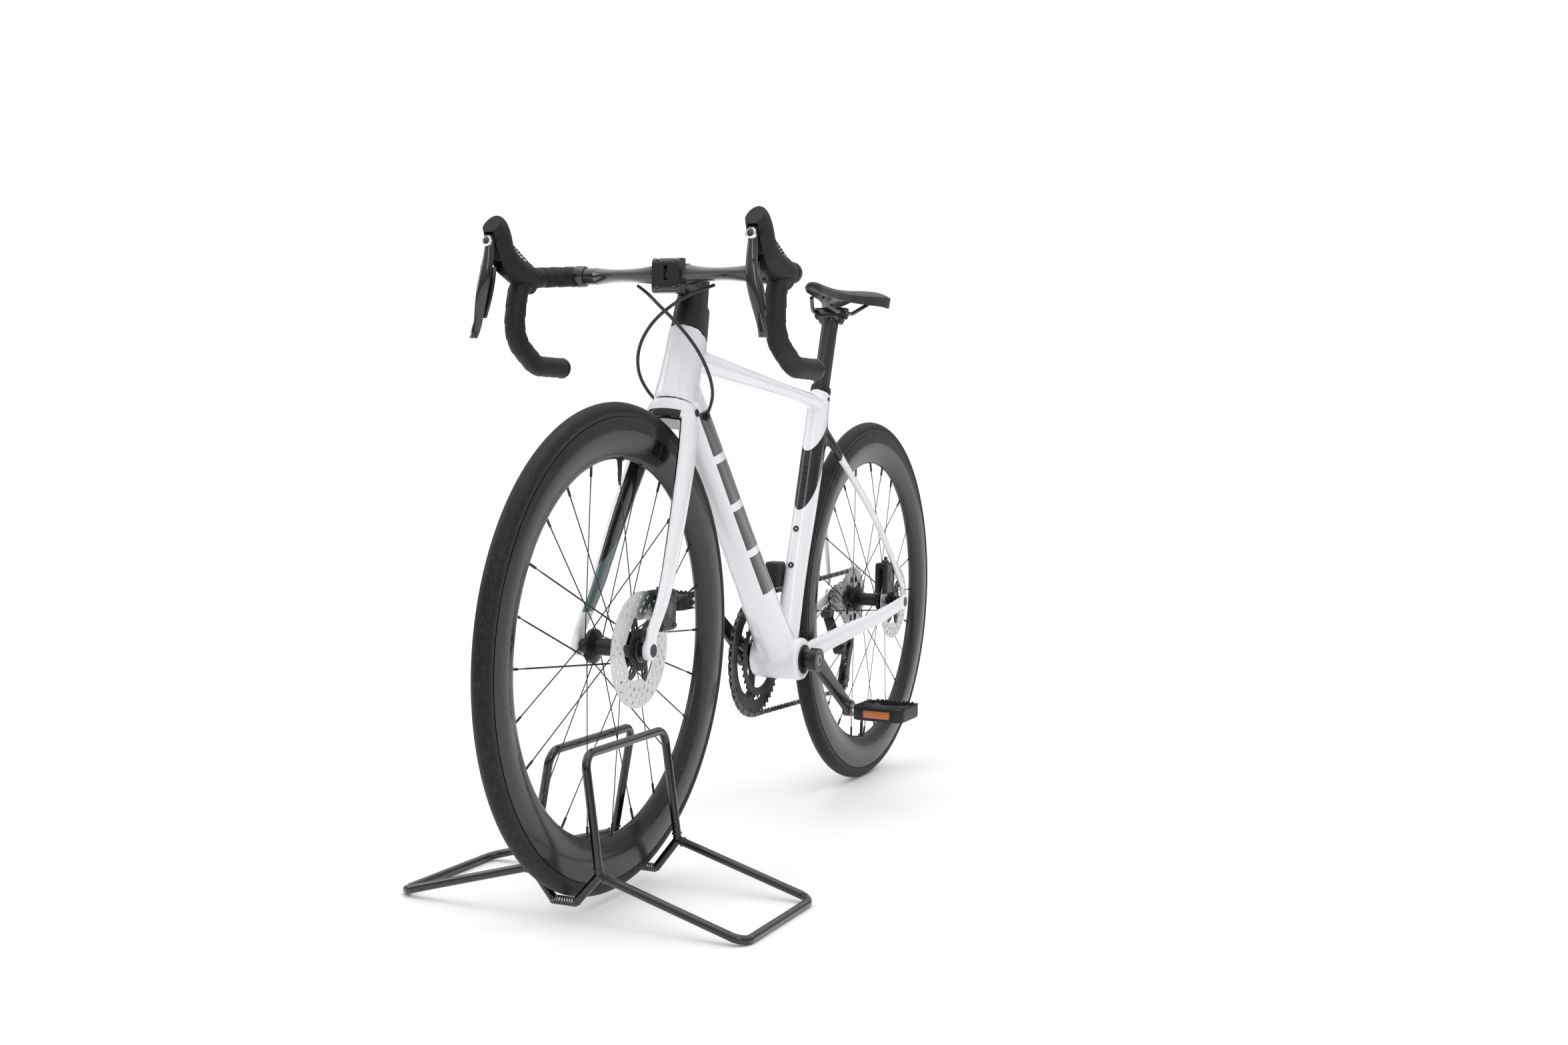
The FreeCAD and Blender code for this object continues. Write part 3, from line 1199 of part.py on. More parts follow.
def saddle_nose():
    """Point below the saddle's nose at the rails' height."""
    return saddle_clamp_centre() + V(SADDLE_NOSE_AHEAD, 0, 0)


def saddle_clamp():
    """Two-piece rail clamp with its bolts."""
    middle = saddle_clamp_centre()
    half = RAIL_HALF_SPACING + 6.0
    barrel = cross(middle, -half, half, 12.5)
    lower = barrel.common(block(middle.x - 40, middle.x + 40, -60, 60, RAIL_Z - 30, RAIL_Z - 0.4))
    upper = barrel.common(block(middle.x - 40, middle.x + 40, -60, 60, RAIL_Z + 0.4, RAIL_Z + 8.0))
    pieces = []
    for piece in (lower, upper):
        for y in (-RAIL_HALF_SPACING, RAIL_HALF_SPACING):
            near = V(middle.x - 60, y, RAIL_Z)
            piece = piece.cut(rod(near, near + X_AXIS * 120, RAIL_R + RUNNING))
        pieces.append(piece)
    for y in (-8.0, 8.0):
        pieces.append(rod(V(middle.x, y, RAIL_Z - 0.4), V(middle.x, y, RAIL_Z + 0.4), 3.0))
    return pieces


def saddle_rails():
    """Two bent saddle rails."""
    rails = []
    middle = saddle_clamp_centre().x
    for side in (1, -1):
        points = [
            V(saddle_nose().x - 32.0, side * 11.0, RAIL_Z + 21.0),
            V(middle + 52.0, side * 16.0, RAIL_Z + 6.0),
            V(middle + 34.0, side * RAIL_HALF_SPACING, RAIL_Z),
            V(middle - 42.0, side * RAIL_HALF_SPACING, RAIL_Z),
            V(middle - 86.0, side * (RAIL_HALF_SPACING + 13.0), RAIL_Z + 20.0),
        ]
        rails.append(bent_rod(points, [30.0, 18.0, 26.0], RAIL_R))
    return rails


def saddle():
    """Saddle shell and pad in one closed form."""
    wires = []
    nose = saddle_nose()
    for share, half_width, bottom, height in (
        (0.0, 13.0, 23.0, 11.0),
        (0.06, 19.0, 20.0, 23.0),
        (0.30, 24.0, 20.5, 26.5),
        (0.52, 36.0, 22.0, 26.0),
        (0.74, SADDLE_HALF_WIDTH - 9.0, 24.0, 25.0), (0.90, SADDLE_HALF_WIDTH, 26.0, 25.0),
        (1.0, SADDLE_HALF_WIDTH - 21.0, 33.0, 16.0),
    ):
        centre = nose + V(-SADDLE_LENGTH * share, 0, bottom)
        wires.append(section(centre, Z_AXIS, Y_AXIS, height, 0.22 * height, half_width, 0.8))
    return loft(wires)


# ---------------------------------------------------------------- hoses across the steering

def crossing_hose(side):
    """Hose from under the bar, round the head tube, to the frame's port on one side."""
    name = "hose_left" if side > 0 else "hose_right"
    lift = 6.0 if side > 0 else 0.0
    return hose(name, [
        V(BAR_X - 14.0, -side * 62.0, BAR_Z - 14.0),
        V(BAR_X + 2.0, -side * 40.0, BAR_Z - 24.0),
        V(BAR_X + 16.0 + lift, -side * 12.0, BAR_Z - 42.0),
        V(BAR_X + 20.0 + lift, side * 20.0, BAR_Z - 68.0),
        V(BAR_X + 12.0, side * 46.0, BAR_Z - 102.0),
        V(BAR_X - 8.0, side * 58.0, BAR_Z - 138.0),
        V(BAR_X - 34.0, side * 54.0, BAR_Z - 168.0),
        V(BAR_X - 56.0, side * 38.0, BAR_Z - 190.0),
        V(BAR_X - 68.8, side * 26.1, BAR_Z - 201.0),
    ])


def build():
    """Write every node."""
    os.makedirs("parts", exist_ok=True)
    left_wing = stand_wing()
    save("stand_wing_left", left_wing)
    save("stand_wing_right", mirror_y(left_wing))
    save("stand_springs", *stand_springs())
    for name, centre in (("front", FRONT_AXLE), ("rear", REAR_AXLE)):
        save(name + "_rim", rim(centre))
        save(name + "_tyre", tyre(centre))
    save("front_spokes", *spokes(FRONT_AXLE, FRONT_FLANGE_LEFT, FRONT_FLANGE_RIGHT))
    save("rear_spokes", *spokes(REAR_AXLE, REAR_FLANGE_LEFT, REAR_FLANGE_RIGHT))
    front_end = FRONT_HUB_HALF - SIDE_GAP
    rear_end = REAR_HUB_HALF - SIDE_GAP
    front_flanges = (FRONT_FLANGE_LEFT, FRONT_FLANGE_RIGHT)
    rear_flanges = (REAR_FLANGE_LEFT, REAR_FLANGE_RIGHT)
    save("front_hub", hub(FRONT_AXLE, front_end, -front_end, *front_flanges, FRONT_ROTOR_Y))
    save("rear_hub", hub(REAR_AXLE, rear_end, -REAR_FLANGE_RIGHT - 4.2, *rear_flanges, REAR_ROTOR_Y))
    save("front_rotor", rotor(FRONT_AXLE, FRONT_ROTOR_R, FRONT_ROTOR_Y))
    save("rear_rotor", rotor(REAR_AXLE, REAR_ROTOR_R, REAR_ROTOR_Y))
    save("front_axle", axle(FRONT_AXLE, FRONT_HUB_HALF + 11.5, 9.0))
    save("rear_axle", axle(REAR_AXLE, REAR_HUB_HALF + DROPOUT_T, 9.0))
    save("fork_crown", fork_crown())
    blade = fork_blade()
    save("fork_blade_left", blade)
    save("fork_blade_right", mirror_y(blade))
    save("headset_spacers", headset_spacers())
    save("stem", stem())
    save("stem_faceplate", stem_faceplate(), *stem_bolts())
    save("handlebar", handlebar())
    save("bar_tape", bar_tape(1), bar_tape(-1))
    for name, side in (("left", 1), ("right", -1)):
        save("hood_" + name, hood(side))
        save("brake_lever_" + name, brake_lever(side))
        save("shift_paddle_" + name, shift_paddle(side))
        save("hose_" + name, crossing_hose(side))
    save("front_caliper", *front_caliper())
    save("front_brake_hose", front_brake_hose())
    save("head_tube", head_tube())
    save("headset_bearings", *headset_bearings())
    save("top_tube", top_tube())
    save("down_tube", down_tube())
    save("seat_tube", seat_tube())
    save("bb_shell", bb_shell())
    save("bb_bearings", *bb_bearings())
    save("chainstays", *chainstays())
    save("seatstays", *seatstays())
    save("seat_clamp", seat_clamp())
    save("rear_caliper", *rear_caliper())
    save("chain", chain())
    save("chainrings", *chainrings())
    save("crank_right", right_crank())
    save("crank_left", left_crank())
    save("pedal_axles", pedal_axle(LEFT_CRANK_END, 1), pedal_axle(RIGHT_CRANK_END, -1))
    save("pedal_left", pedal(LEFT_CRANK_END, 1))
    save("pedal_right", pedal(RIGHT_CRANK_END, -1))
    save("cassette", cassette())
    save("jockey_wheel_upper", jockey_wheel(guide_pulley_centre()))
    save("jockey_wheel_lower", jockey_wheel(tension_pulley_centre()))
    save("rear_derailleur", rear_derailleur())
    save("front_derailleur", front_derailleur())
    save("seatpost", seatpost())
    save("saddle_clamp", *saddle_clamp())
    save("saddle_rails", *saddle_rails())
    pad = saddle()
    for rail in saddle_rails():
        pad = pad.cut(rail)
    save("saddle", pad)


build()
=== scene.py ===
"""Looks of a drop-bar road bicycle held in a sprung floor stand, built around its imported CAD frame."""

import json
import logging
from dataclasses import dataclass, field
from enum import Enum
from math import asin, atan2, ceil, copysign, cos, exp, hypot, pi, radians, sin, sqrt, tan
from typing import Sequence

import bmesh
import bpy
from bmesh.types import BMEdge, BMVert, BMesh
from bpy.types import Material, Mesh, Node, NodeSocket, Object
from mathutils import Matrix, Vector


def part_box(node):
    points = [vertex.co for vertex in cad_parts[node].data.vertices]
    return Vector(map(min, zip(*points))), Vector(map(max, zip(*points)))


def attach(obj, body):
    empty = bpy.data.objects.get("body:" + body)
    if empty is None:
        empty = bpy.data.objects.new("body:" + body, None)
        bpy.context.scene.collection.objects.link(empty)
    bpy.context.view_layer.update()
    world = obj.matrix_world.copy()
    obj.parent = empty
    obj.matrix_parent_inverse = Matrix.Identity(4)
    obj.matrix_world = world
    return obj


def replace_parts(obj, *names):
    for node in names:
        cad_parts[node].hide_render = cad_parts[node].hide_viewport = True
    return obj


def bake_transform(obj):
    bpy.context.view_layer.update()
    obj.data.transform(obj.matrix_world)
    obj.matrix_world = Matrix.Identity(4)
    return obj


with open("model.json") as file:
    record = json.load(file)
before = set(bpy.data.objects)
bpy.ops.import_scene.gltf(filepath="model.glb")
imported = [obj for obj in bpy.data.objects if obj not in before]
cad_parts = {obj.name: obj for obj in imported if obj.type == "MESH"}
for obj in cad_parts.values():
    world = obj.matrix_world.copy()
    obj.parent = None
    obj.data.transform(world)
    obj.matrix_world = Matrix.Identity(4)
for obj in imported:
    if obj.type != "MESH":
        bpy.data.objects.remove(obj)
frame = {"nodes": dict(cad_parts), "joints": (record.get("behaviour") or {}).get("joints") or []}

LOG = logging.getLogger("bicycle")
MM = 0.001
TURN = 2 * pi
Colour = tuple[float, float, float]
X_AXIS = Vector((1, 0, 0))
Y_AXIS = Vector((0, 1, 0))
Z_AXIS = Vector((0, 0, 1))


# ---------------------------------------------------------------- measures from the frame

def centre_of(node: str) -> Vector:
    """Middle of a CAD node's box, in metres."""
    low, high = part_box(node)
    return (low + high) / 2


def joint_of(name: str) -> dict:
    """Packed facts of a joint."""
    return next(joint for joint in frame["joints"] if joint["name"] == name)


def joint_place(name: str) -> Vector:
    """Point on a joint's axis, in metres."""
    return Vector(joint_of(name)["pos_m"])


FRONT_AXLE = joint_place("front_wheel_spin")
REAR_AXLE = joint_place("rear_wheel_spin")
BOTTOM_BRACKET = joint_place("crank_spin")
HEAD_UP = Vector(joint_of("steering")["axis"]).normalized()
SEAT_UP = Vector(joint_of("seatpost_height")["axis"]).normalized()


def mid_plane(point: Vector) -> Vector:
    """Point moved sideways onto the middle plane."""
    return Vector((point.x, 0, point.z))


# ---------------------------------------------------------------- finishes

class Grain(Enum):
    """Kinds of fine surface pattern."""

    SMOOTH = "smooth"
    MOULDED = "moulded"
    PEBBLED = "pebbled"
    BRUSHED = "brushed"
    LAMINATE = "laminate"


class NodeSheet:
    """A material's node tree with short ways to add and join nodes."""

    def __init__(self, name: str) -> None:
        """Start an empty principled material with this name."""
        self.material = bpy.data.materials.new(name)
        self.material.use_nodes = True
        self.tree = self.material.node_tree
        self.shader = self.tree.nodes["Principled BSDF"]

    def add(self, kind: str, **settings: object) -> Node:
        """Add a node.

        Args:
            kind: Blender's node type.
            settings: Attributes set on the node.

        Returns:
            The new node.
        """
        node = self.tree.nodes.new(kind)
        for key, value in settings.items():
            setattr(node, key, value)
        return node

    def feed(self, value: object, socket: NodeSocket) -> None:
        """Put a number, a colour or another socket's value into a socket."""
        if isinstance(value, NodeSocket):
            self.tree.links.new(value, socket)
        elif isinstance(value, (int, float)):
            socket.default_value = value
        else:
            socket.default_value = (*value, 1.0) if len(socket.default_value) == 4 else value

    def maths(self, operation: str, *inputs: object) -> NodeSocket:
        """Add a Math node on numbers or sockets.

        Args:
            operation: Blender's name of the operation.
            inputs: Numbers or sockets, in order.

        Returns:
            The result's socket.
        """
        node = self.add("ShaderNodeMath", operation=operation)
        for value, socket in zip(inputs, node.inputs):
            self.feed(value, socket)
        return node.outputs[0]

    def product(self, *factors: object) -> NodeSocket:
        """Product of several factors."""
        total = factors[0]
        for factor in factors[1:]:
            total = self.maths("MULTIPLY", total, factor)
        return total

    def between(self, value: object, low: float, high: float) -> NodeSocket:
        """1 where a value lies between two limits, else 0."""
        return self.product(self.maths("GREATER_THAN", value, low), self.maths("LESS_THAN", value, high))

    def place(self) -> NodeSocket:
        """Object coordinates in metres."""
        return self.add("ShaderNodeTexCoord").outputs["Object"]

    def along(self, direction: Sequence[float], origin: Vector) -> NodeSocket:
        """Distance along a direction from an origin, in metres."""
        shifted = self.add("ShaderNodeVectorMath", operation="SUBTRACT")
        self.feed(self.place(), shifted.inputs[0])
        shifted.inputs[1].default_value = origin
        dotted = self.add("ShaderNodeVectorMath", operation="DOT_PRODUCT")
        self.feed(shifted.outputs["Vector"], dotted.inputs[0])
        dotted.inputs[1].default_value = direction
        return dotted.outputs["Value"]

    def normal_along(self, direction: Sequence[float]) -> NodeSocket:
        """How far the surface faces a direction, from -1 to 1."""
        dotted = self.add("ShaderNodeVectorMath", operation="DOT_PRODUCT")
        self.feed(self.add("ShaderNodeTexCoord").outputs["Normal"], dotted.inputs[0])
        dotted.inputs[1].default_value = direction
        return dotted.outputs["Value"]

    def radius_and_angle(self, axle: Vector) -> tuple[NodeSocket, NodeSocket]:
        """Distance from an axle that runs along Y, and the angle about it in turns."""
        across = self.along(X_AXIS, axle)
        up = self.along(Z_AXIS, axle)
        square = self.maths("ADD", self.product(across, across), self.product(up, up))
        angle = self.maths("MULTIPLY_ADD", self.maths("ARCTAN2", up, across), 1 / TURN, 0.5)
        return self.maths("SQRT", square), angle

    def noise(self, scale: float, detail: float = 3.0, stretch: Colour = (1.0, 1.0, 1.0)) -> NodeSocket:
        """Noise on object coordinates.

        Args:
            scale: Cells per metre.
            detail: Octaves.
            stretch: Factor along each axis.

        Returns:
            The noise's factor.
        """
        mapping = self.add("ShaderNodeMapping")
        mapping.inputs["Scale"].default_value = stretch
        self.feed(self.place(), mapping.inputs["Vector"])
        noise = self.add("ShaderNodeTexNoise")
        noise.inputs["Scale"].default_value = scale
        noise.inputs["Detail"].default_value = detail
        self.feed(mapping.outputs[0], noise.inputs["Vector"])
        return noise.outputs["Fac"]

    def mix(self, factor: object, first: object, second: object) -> NodeSocket:
        """Mix two colours, each a colour or a socket."""
        node = self.add("ShaderNodeMix", data_type="RGBA")
        self.feed(factor, node.inputs[0])
        self.feed(first, node.inputs[6])
        self.feed(second, node.inputs[7])
        return node.outputs[2]

    def spread(self, factor: object, low: float, high: float) -> NodeSocket:
        """Map a 0 to 1 factor to a range."""
        return self.maths("MULTIPLY_ADD", factor, high - low, low)

    def bump(self, height: NodeSocket, depth: float, strength: float = 0.6) -> None:
        """Raise the surface by a height factor, its full height in metres."""
        node = self.add("ShaderNodeBump")
        node.inputs["Strength"].default_value = strength
        node.inputs["Distance"].default_value = depth
        self.feed(height, node.inputs["Height"])
        self.feed(node.outputs["Normal"], self.shader.inputs["Normal"])

    def set(self, **values: object) -> None:
        """Set or link the shader's inputs; underscores in names stand for spaces."""
        for key, value in values.items():
            self.feed(value, self.shader.inputs[key.replace("_", " ")])


@dataclass(frozen=True)
class Finish:
    """A surface finish with fine grain, slight mottling and uneven gloss."""

    name: str
    base: Colour
    roughness: float
    metallic: float = 0.0
    coat: float = 0.0
    grain: Grain = Grain.SMOOTH
    scale: float = 900.0
    depth: float = 0.0
    mottle: float = 0.10
    stretch: Colour = (1.0, 1.0, 1.0)
    shine: float = 0.5

    def make(self) -> Material:
        """Build the material."""
        sheet = NodeSheet(self.name)
        broad = sheet.noise(22.0, 2.0)
        fine = sheet.noise(self.scale, 4.0, self.stretch)
        lighter = tuple(min(1.0, value * (1.0 + self.mottle)) for value in self.base)
        darker = tuple(value * (1.0 - self.mottle) for value in self.base)
        sheet.set(Base_Color=sheet.mix(broad, darker, lighter))
        sheet.set(Roughness=sheet.spread(fine, self.roughness * 0.85, min(1.0, self.roughness * 1.15)))
        sheet.set(Metallic=self.metallic, Coat_Weight=self.coat, Coat_Roughness=0.06)
        sheet.set(Specular_IOR_Level=self.shine)
        if self.grain is Grain.PEBBLED:
            cells = sheet.add("ShaderNodeTexVoronoi")
            cells.inputs["Scale"].default_value = self.scale
            sheet.feed(sheet.place(), cells.inputs["Vector"])
            sheet.bump(cells.outputs["Distance"], self.depth)
        elif self.grain is not Grain.SMOOTH:
            sheet.bump(fine, self.depth)
        return sheet.material


@dataclass(frozen=True)
class RubberTread:
    """Tyre rubber: a slick crown, slanting sipes on the shoulders painted near-black as painted shade in the
    grooves, and a scuffed sidewall.
    """

    name: str
    axle: Vector
    radius: float

    def make(self) -> Material:
        """Build the material."""
        sheet = NodeSheet(self.name)
        reach, angle = sheet.radius_and_angle(self.axle)
        side = sheet.maths("ABSOLUTE", sheet.along(Y_AXIS, self.axle))
        slant = sheet.maths("ADD", sheet.product(angle, 84.0), sheet.product(side, 95.0))
        groove = sheet.between(sheet.maths("FRACT", slant), 0.44, 0.56)
        shoulder = sheet.between(side, 4.5 * MM, 9.5 * MM)
        sipe = sheet.product(groove, shoulder, sheet.maths("GREATER_THAN", reach, self.radius - 11 * MM))
        scuff = sheet.noise(160.0, 5.0)
        dust = sheet.product(sheet.maths("GREATER_THAN", scuff, 0.56), 0.35)
        rubber = sheet.mix(dust, (0.009, 0.009, 0.010), (0.030, 0.029, 0.028))
        # Sipes painted near-black: painted shade in the grooves, over the dusty rubber.
        sheet.set(Base_Color=sheet.mix(sheet.product(sipe, 0.9), rubber, (0.003, 0.003, 0.003)))
        sheet.set(Roughness=sheet.spread(scuff, 0.42, 0.62), Specular_IOR_Level=0.25)
        grain = sheet.noise(1500.0, 2.0)
        sheet.bump(sheet.maths("SUBTRACT", sheet.product(grain, 0.12), sipe), 0.7 * MM)
        return sheet.material


@dataclass(frozen=True)
class RimLaminate:
    """Deep carbon rim: satin laminate with a fine weave and six glossier arcs."""

    name: str
    axle: Vector

    def make(self) -> Material:
        """Build the material."""
        sheet = NodeSheet(self.name)
        reach, angle = sheet.radius_and_angle(self.axle)
        threads = sheet.maths("ADD", sheet.product(angle, 900.0), sheet.product(reach, 2600.0))
        weave = sheet.maths("SINE", sheet.product(threads, 1.0))
        weave = sheet.maths("MULTIPLY_ADD", weave, 0.5, 0.5)
        share = sheet.maths("FRACT", sheet.maths("MULTIPLY_ADD", angle, 3.0, 0.08))
        arc = sheet.product(sheet.between(share, 0.30, 0.66), sheet.between(reach, 0.278, 0.300))
        slots = sheet.maths("FRACT", sheet.product(share, 22.0))
        arc = sheet.product(arc, sheet.maths("GREATER_THAN", slots, 0.18))
        cloud = sheet.noise(14.0, 3.0)
        base = sheet.mix(cloud, (0.009, 0.009, 0.009), (0.019, 0.018, 0.017))
        base = sheet.mix(sheet.product(weave, 0.25), base, (0.030, 0.029, 0.027))
        sheet.set(Base_Color=sheet.mix(sheet.product(arc, 0.8), base, (0.006, 0.006, 0.007)))
        sheet.set(Roughness=sheet.maths("SUBTRACT", sheet.spread(cloud, 0.24, 0.34),
                                        sheet.product(arc, 0.12)))
        sheet.set(Coat_Weight=0.25, Coat_Roughness=0.08, Specular_IOR_Level=0.25)
        return sheet.material


@dataclass(frozen=True)
class FramePaint:
    """White lacquer with a black panel on the seat tube, and bars on the down tube with painted shade: black
    on their lower side, grey on their upper side.
    """

    name: str
    white: Colour = (0.79, 0.80, 0.83)
    black: Colour = (0.012, 0.012, 0.014)
    bars: int = 4
    bar_start: float = 0.155
    bar_period: float = 0.098
    bar_length: float = 0.083
    bar_half: float = 0.021

    def bar_mask(self, sheet: NodeSheet) -> tuple[NodeSocket, NodeSocket]:
        """Mask of the down tube's bars and the place across them from 0 to 1, which grades their painted
        shade.
        """
        head = centre_of("head_tube") - HEAD_UP * 0.02
        up = (head - BOTTOM_BRACKET).normalized()
        down = Vector((up.z, 0, -up.x))
        run = sheet.along(up, BOTTOM_BRACKET)
        across = sheet.along(down, BOTTOM_BRACKET)
        slanted = sheet.maths("MULTIPLY_ADD", across, -0.45, run)
        step = sheet.maths("SUBTRACT", slanted, self.bar_start)
        phase = sheet.maths("PINGPONG", step, self.bar_period / 2)
        inside = sheet.maths("GREATER_THAN", phase, (self.bar_period - self.bar_length) / 2)
        window = sheet.between(step, 0.0, self.bars * self.bar_period)
        band = sheet.between(across, -self.bar_half, self.bar_half)
        away = sheet.maths("ABSOLUTE", sheet.along(Y_AXIS, BOTTOM_BRACKET))
        side = sheet.maths("GREATER_THAN", away, 0.013)
        share = sheet.maths("MULTIPLY_ADD", across, -0.5 / self.bar_half, 0.5)
        return sheet.product(inside, window, band, side), share

    def panel_mask(self, sheet: NodeSheet) -> NodeSocket:
        """Mask of the black panel on the seat tube, cut on slants, and the roots of the seatstays."""
        ahead = Vector((SEAT_UP.z, 0, -SEAT_UP.x))
        foot = BOTTOM_BRACKET - X_AXIS * 0.016
        run = sheet.along(SEAT_UP, foot)
        across = sheet.along(ahead, foot)
        low = sheet.maths("MULTIPLY_ADD", across, 2.03, run)
        high = sheet.maths("MULTIPLY_ADD", across, 1.59, run)
        tube = sheet.product(sheet.maths("GREATER_THAN", low, 0.299), sheet.maths("LESS_THAN", high, 0.396),
                             sheet.between(across, -0.03, 0.03))
        roots = sheet.product(sheet.between(across, -0.067, -0.012), sheet.between(run, 0.335, 0.425))
        return sheet.maths("MAXIMUM", tube, roots)

    def make(self) -> Material:
        """Build the material."""
        sheet = NodeSheet(self.name)
        bars, share = self.bar_mask(sheet)
        # Painted shade on the bars: black on the down tube's lower side, lighter grey on its upper side where
        # light falls.
        bar_painted_shade = sheet.mix(share, (0.010, 0.010, 0.011), (0.28, 0.285, 0.30))
        flecks = sheet.product(sheet.noise(2500.0, 2.0), 0.03)
        white = sheet.mix(flecks, self.white, (0.90, 0.91, 0.95))
        colour = sheet.mix(bars, white, bar_painted_shade)
        sheet.set(Base_Color=sheet.mix(self.panel_mask(sheet), colour, self.black))
        sheet.set(Roughness=sheet.spread(sheet.noise(30.0, 2.0), 0.16, 0.24), Coat_Weight=0.8,
                  Coat_Roughness=0.03, Specular_IOR_Level=0.15)
        return sheet.material


@dataclass(frozen=True)
class ForkPaint:
    """White lacquer outside and black inside, with a grey-green fade above the tips."""

    name: str
    white: Colour = (0.79, 0.80, 0.83)
    black: Colour = (0.012, 0.012, 0.014)
    fade: Colour = (0.10, 0.15, 0.15)

    def make(self) -> Material:
        """Build the material."""
        sheet = NodeSheet(self.name)
        side = sheet.along(Y_AXIS, FRONT_AXLE)
        facing = sheet.product(sheet.normal_along(Y_AXIS), sheet.maths("SIGN", side))
        inner = sheet.maths("LESS_THAN", facing, -0.30)
        height = sheet.along(Z_AXIS, FRONT_AXLE)
        blade = sheet.product(inner, sheet.between(height, 0.045, 0.345),
                              sheet.maths("GREATER_THAN", sheet.maths("ABSOLUTE", side), 0.012))
        reach, _ = sheet.radius_and_angle(FRONT_AXLE)
        arch = sheet.product(sheet.maths("LESS_THAN", reach, 0.3575),
                             sheet.maths("LESS_THAN", sheet.maths("ABSOLUTE", side), 0.026))
        slope = sheet.maths("MULTIPLY_ADD", sheet.along(X_AXIS, FRONT_AXLE), 0.8, height)
        low = sheet.maths("LESS_THAN", slope, 0.075)
        dark = sheet.mix(low, self.black, self.fade)
        mask = sheet.maths("MAXIMUM", blade, arch)
        sheet.set(Base_Color=sheet.mix(mask, self.white, dark))
        sheet.set(Roughness=sheet.spread(sheet.noise(30.0, 2.0), 0.16, 0.24), Coat_Weight=0.8,
                  Coat_Roughness=0.03, Specular_IOR_Level=0.15)
        return sheet.material


FINISHES = {
    "black_gloss": Finish("black_gloss", (0.012, 0.012, 0.013), 0.16, coat=0.6),
    "lever_gloss": Finish("lever_gloss", (0.006, 0.006, 0.007), 0.10, coat=0.9),
    "bar_gloss": Finish("bar_gloss", (0.018, 0.018, 0.019), 0.22, coat=0.8),
    "stand_coating": Finish("stand_coating", (0.003, 0.003, 0.0035), 0.15, coat=0.5, grain=Grain.MOULDED,
                            scale=500.0, depth=0.00010),
    "satin_carbon": Finish("satin_carbon", (0.010, 0.010, 0.011), 0.36, coat=0.15, grain=Grain.LAMINATE,
                           scale=500.0, depth=0.00006, stretch=(1.0, 1.0, 0.12)),
    "matte_black": Finish("matte_black", (0.009, 0.009, 0.010), 0.42, grain=Grain.MOULDED, scale=1500.0,
                          depth=0.0001, shine=0.35),
    "black_alloy": Finish("black_alloy", (0.016, 0.016, 0.018), 0.34, metallic=0.4, grain=Grain.MOULDED,
                          scale=1400.0, depth=0.00004),
    "grey_alloy": Finish("grey_alloy", (0.10, 0.105, 0.11), 0.36, metallic=0.85, grain=Grain.MOULDED,
                         scale=1200.0, depth=0.00005),
    "crank_coating": Finish("crank_coating", (0.020, 0.021, 0.023), 0.34, metallic=0.5, coat=0.2,
                            grain=Grain.MOULDED, scale=1200.0, depth=0.00005),
    "bright_steel": Finish("bright_steel", (0.62, 0.62, 0.63), 0.22, metallic=1.0, mottle=0.05),
    "disc_steel": Finish("disc_steel", (0.62, 0.62, 0.63), 0.34, metallic=1.0, grain=Grain.BRUSHED,
                         scale=900.0, depth=0.00003),
    "cog_steel": Finish("cog_steel", (0.40, 0.40, 0.41), 0.30, metallic=1.0, grain=Grain.BRUSHED,
                        scale=900.0, depth=0.00003),
    "chain_steel": Finish("chain_steel", (0.14, 0.135, 0.13), 0.34, metallic=1.0, mottle=0.2),
    "dark_steel": Finish("dark_steel", (0.13, 0.13, 0.135), 0.28, metallic=1.0, mottle=0.15),
    "chrome": Finish("chrome", (0.78, 0.78, 0.79), 0.08, metallic=1.0, mottle=0.03),
    "spoke_black": Finish("spoke_black", (0.014, 0.014, 0.015), 0.34, metallic=0.3),
    "hood_rubber": Finish("hood_rubber", (0.010, 0.010, 0.011), 0.58, grain=Grain.PEBBLED, scale=1100.0,
                          depth=0.00018, shine=0.3),
    "bar_tape": Finish("bar_tape", (0.010, 0.010, 0.011), 0.56, grain=Grain.PEBBLED, scale=420.0,
                       depth=0.00035, shine=0.3),
    "resin": Finish("resin", (0.010, 0.010, 0.011), 0.44, grain=Grain.MOULDED, scale=1600.0, depth=0.0001,
                    shine=0.35),
    "hose_jacket": Finish("hose_jacket", (0.014, 0.014, 0.015), 0.30, grain=Grain.MOULDED, scale=2200.0,
                          depth=0.00003),
    "saddle_cover": Finish("saddle_cover", (0.010, 0.010, 0.011), 0.40, grain=Grain.PEBBLED, scale=1700.0,
                           depth=0.00007, shine=0.4),
    "reflector_amber": Finish("reflector_amber", (0.45, 0.12, 0.015), 0.20, coat=0.8, grain=Grain.PEBBLED,
                              scale=420.0, depth=0.0006),
    "front_tread": RubberTread("front_tread", FRONT_AXLE, 0.337),
    "rear_tread": RubberTread("rear_tread", REAR_AXLE, 0.337),
    "front_laminate": RimLaminate("front_laminate", FRONT_AXLE),
    "rear_laminate": RimLaminate("rear_laminate", REAR_AXLE),
    "frame_paint": FramePaint("frame_paint"),
    "fork_paint": ForkPaint("fork_paint"),
}
MADE: dict[str, Material] = {}


def finish_of(name: str) -> Material:
    """Material of a finish, made on first use."""
    if name not in MADE:
        MADE[name] = FINISHES[name].make()
    return MADE[name]


def dress(finish: str, *nodes: str) -> None:
    """Give CAD nodes a finish."""
    for node in nodes:
        obj = frame["nodes"][node]
        if not obj.material_slots:
            obj.data.materials.append(None)
        for slot in obj.material_slots:
            slot.material = finish_of(finish)
        LOG.info("dressed %s in %s", node, finish)


# ---------------------------------------------------------------- making meshes

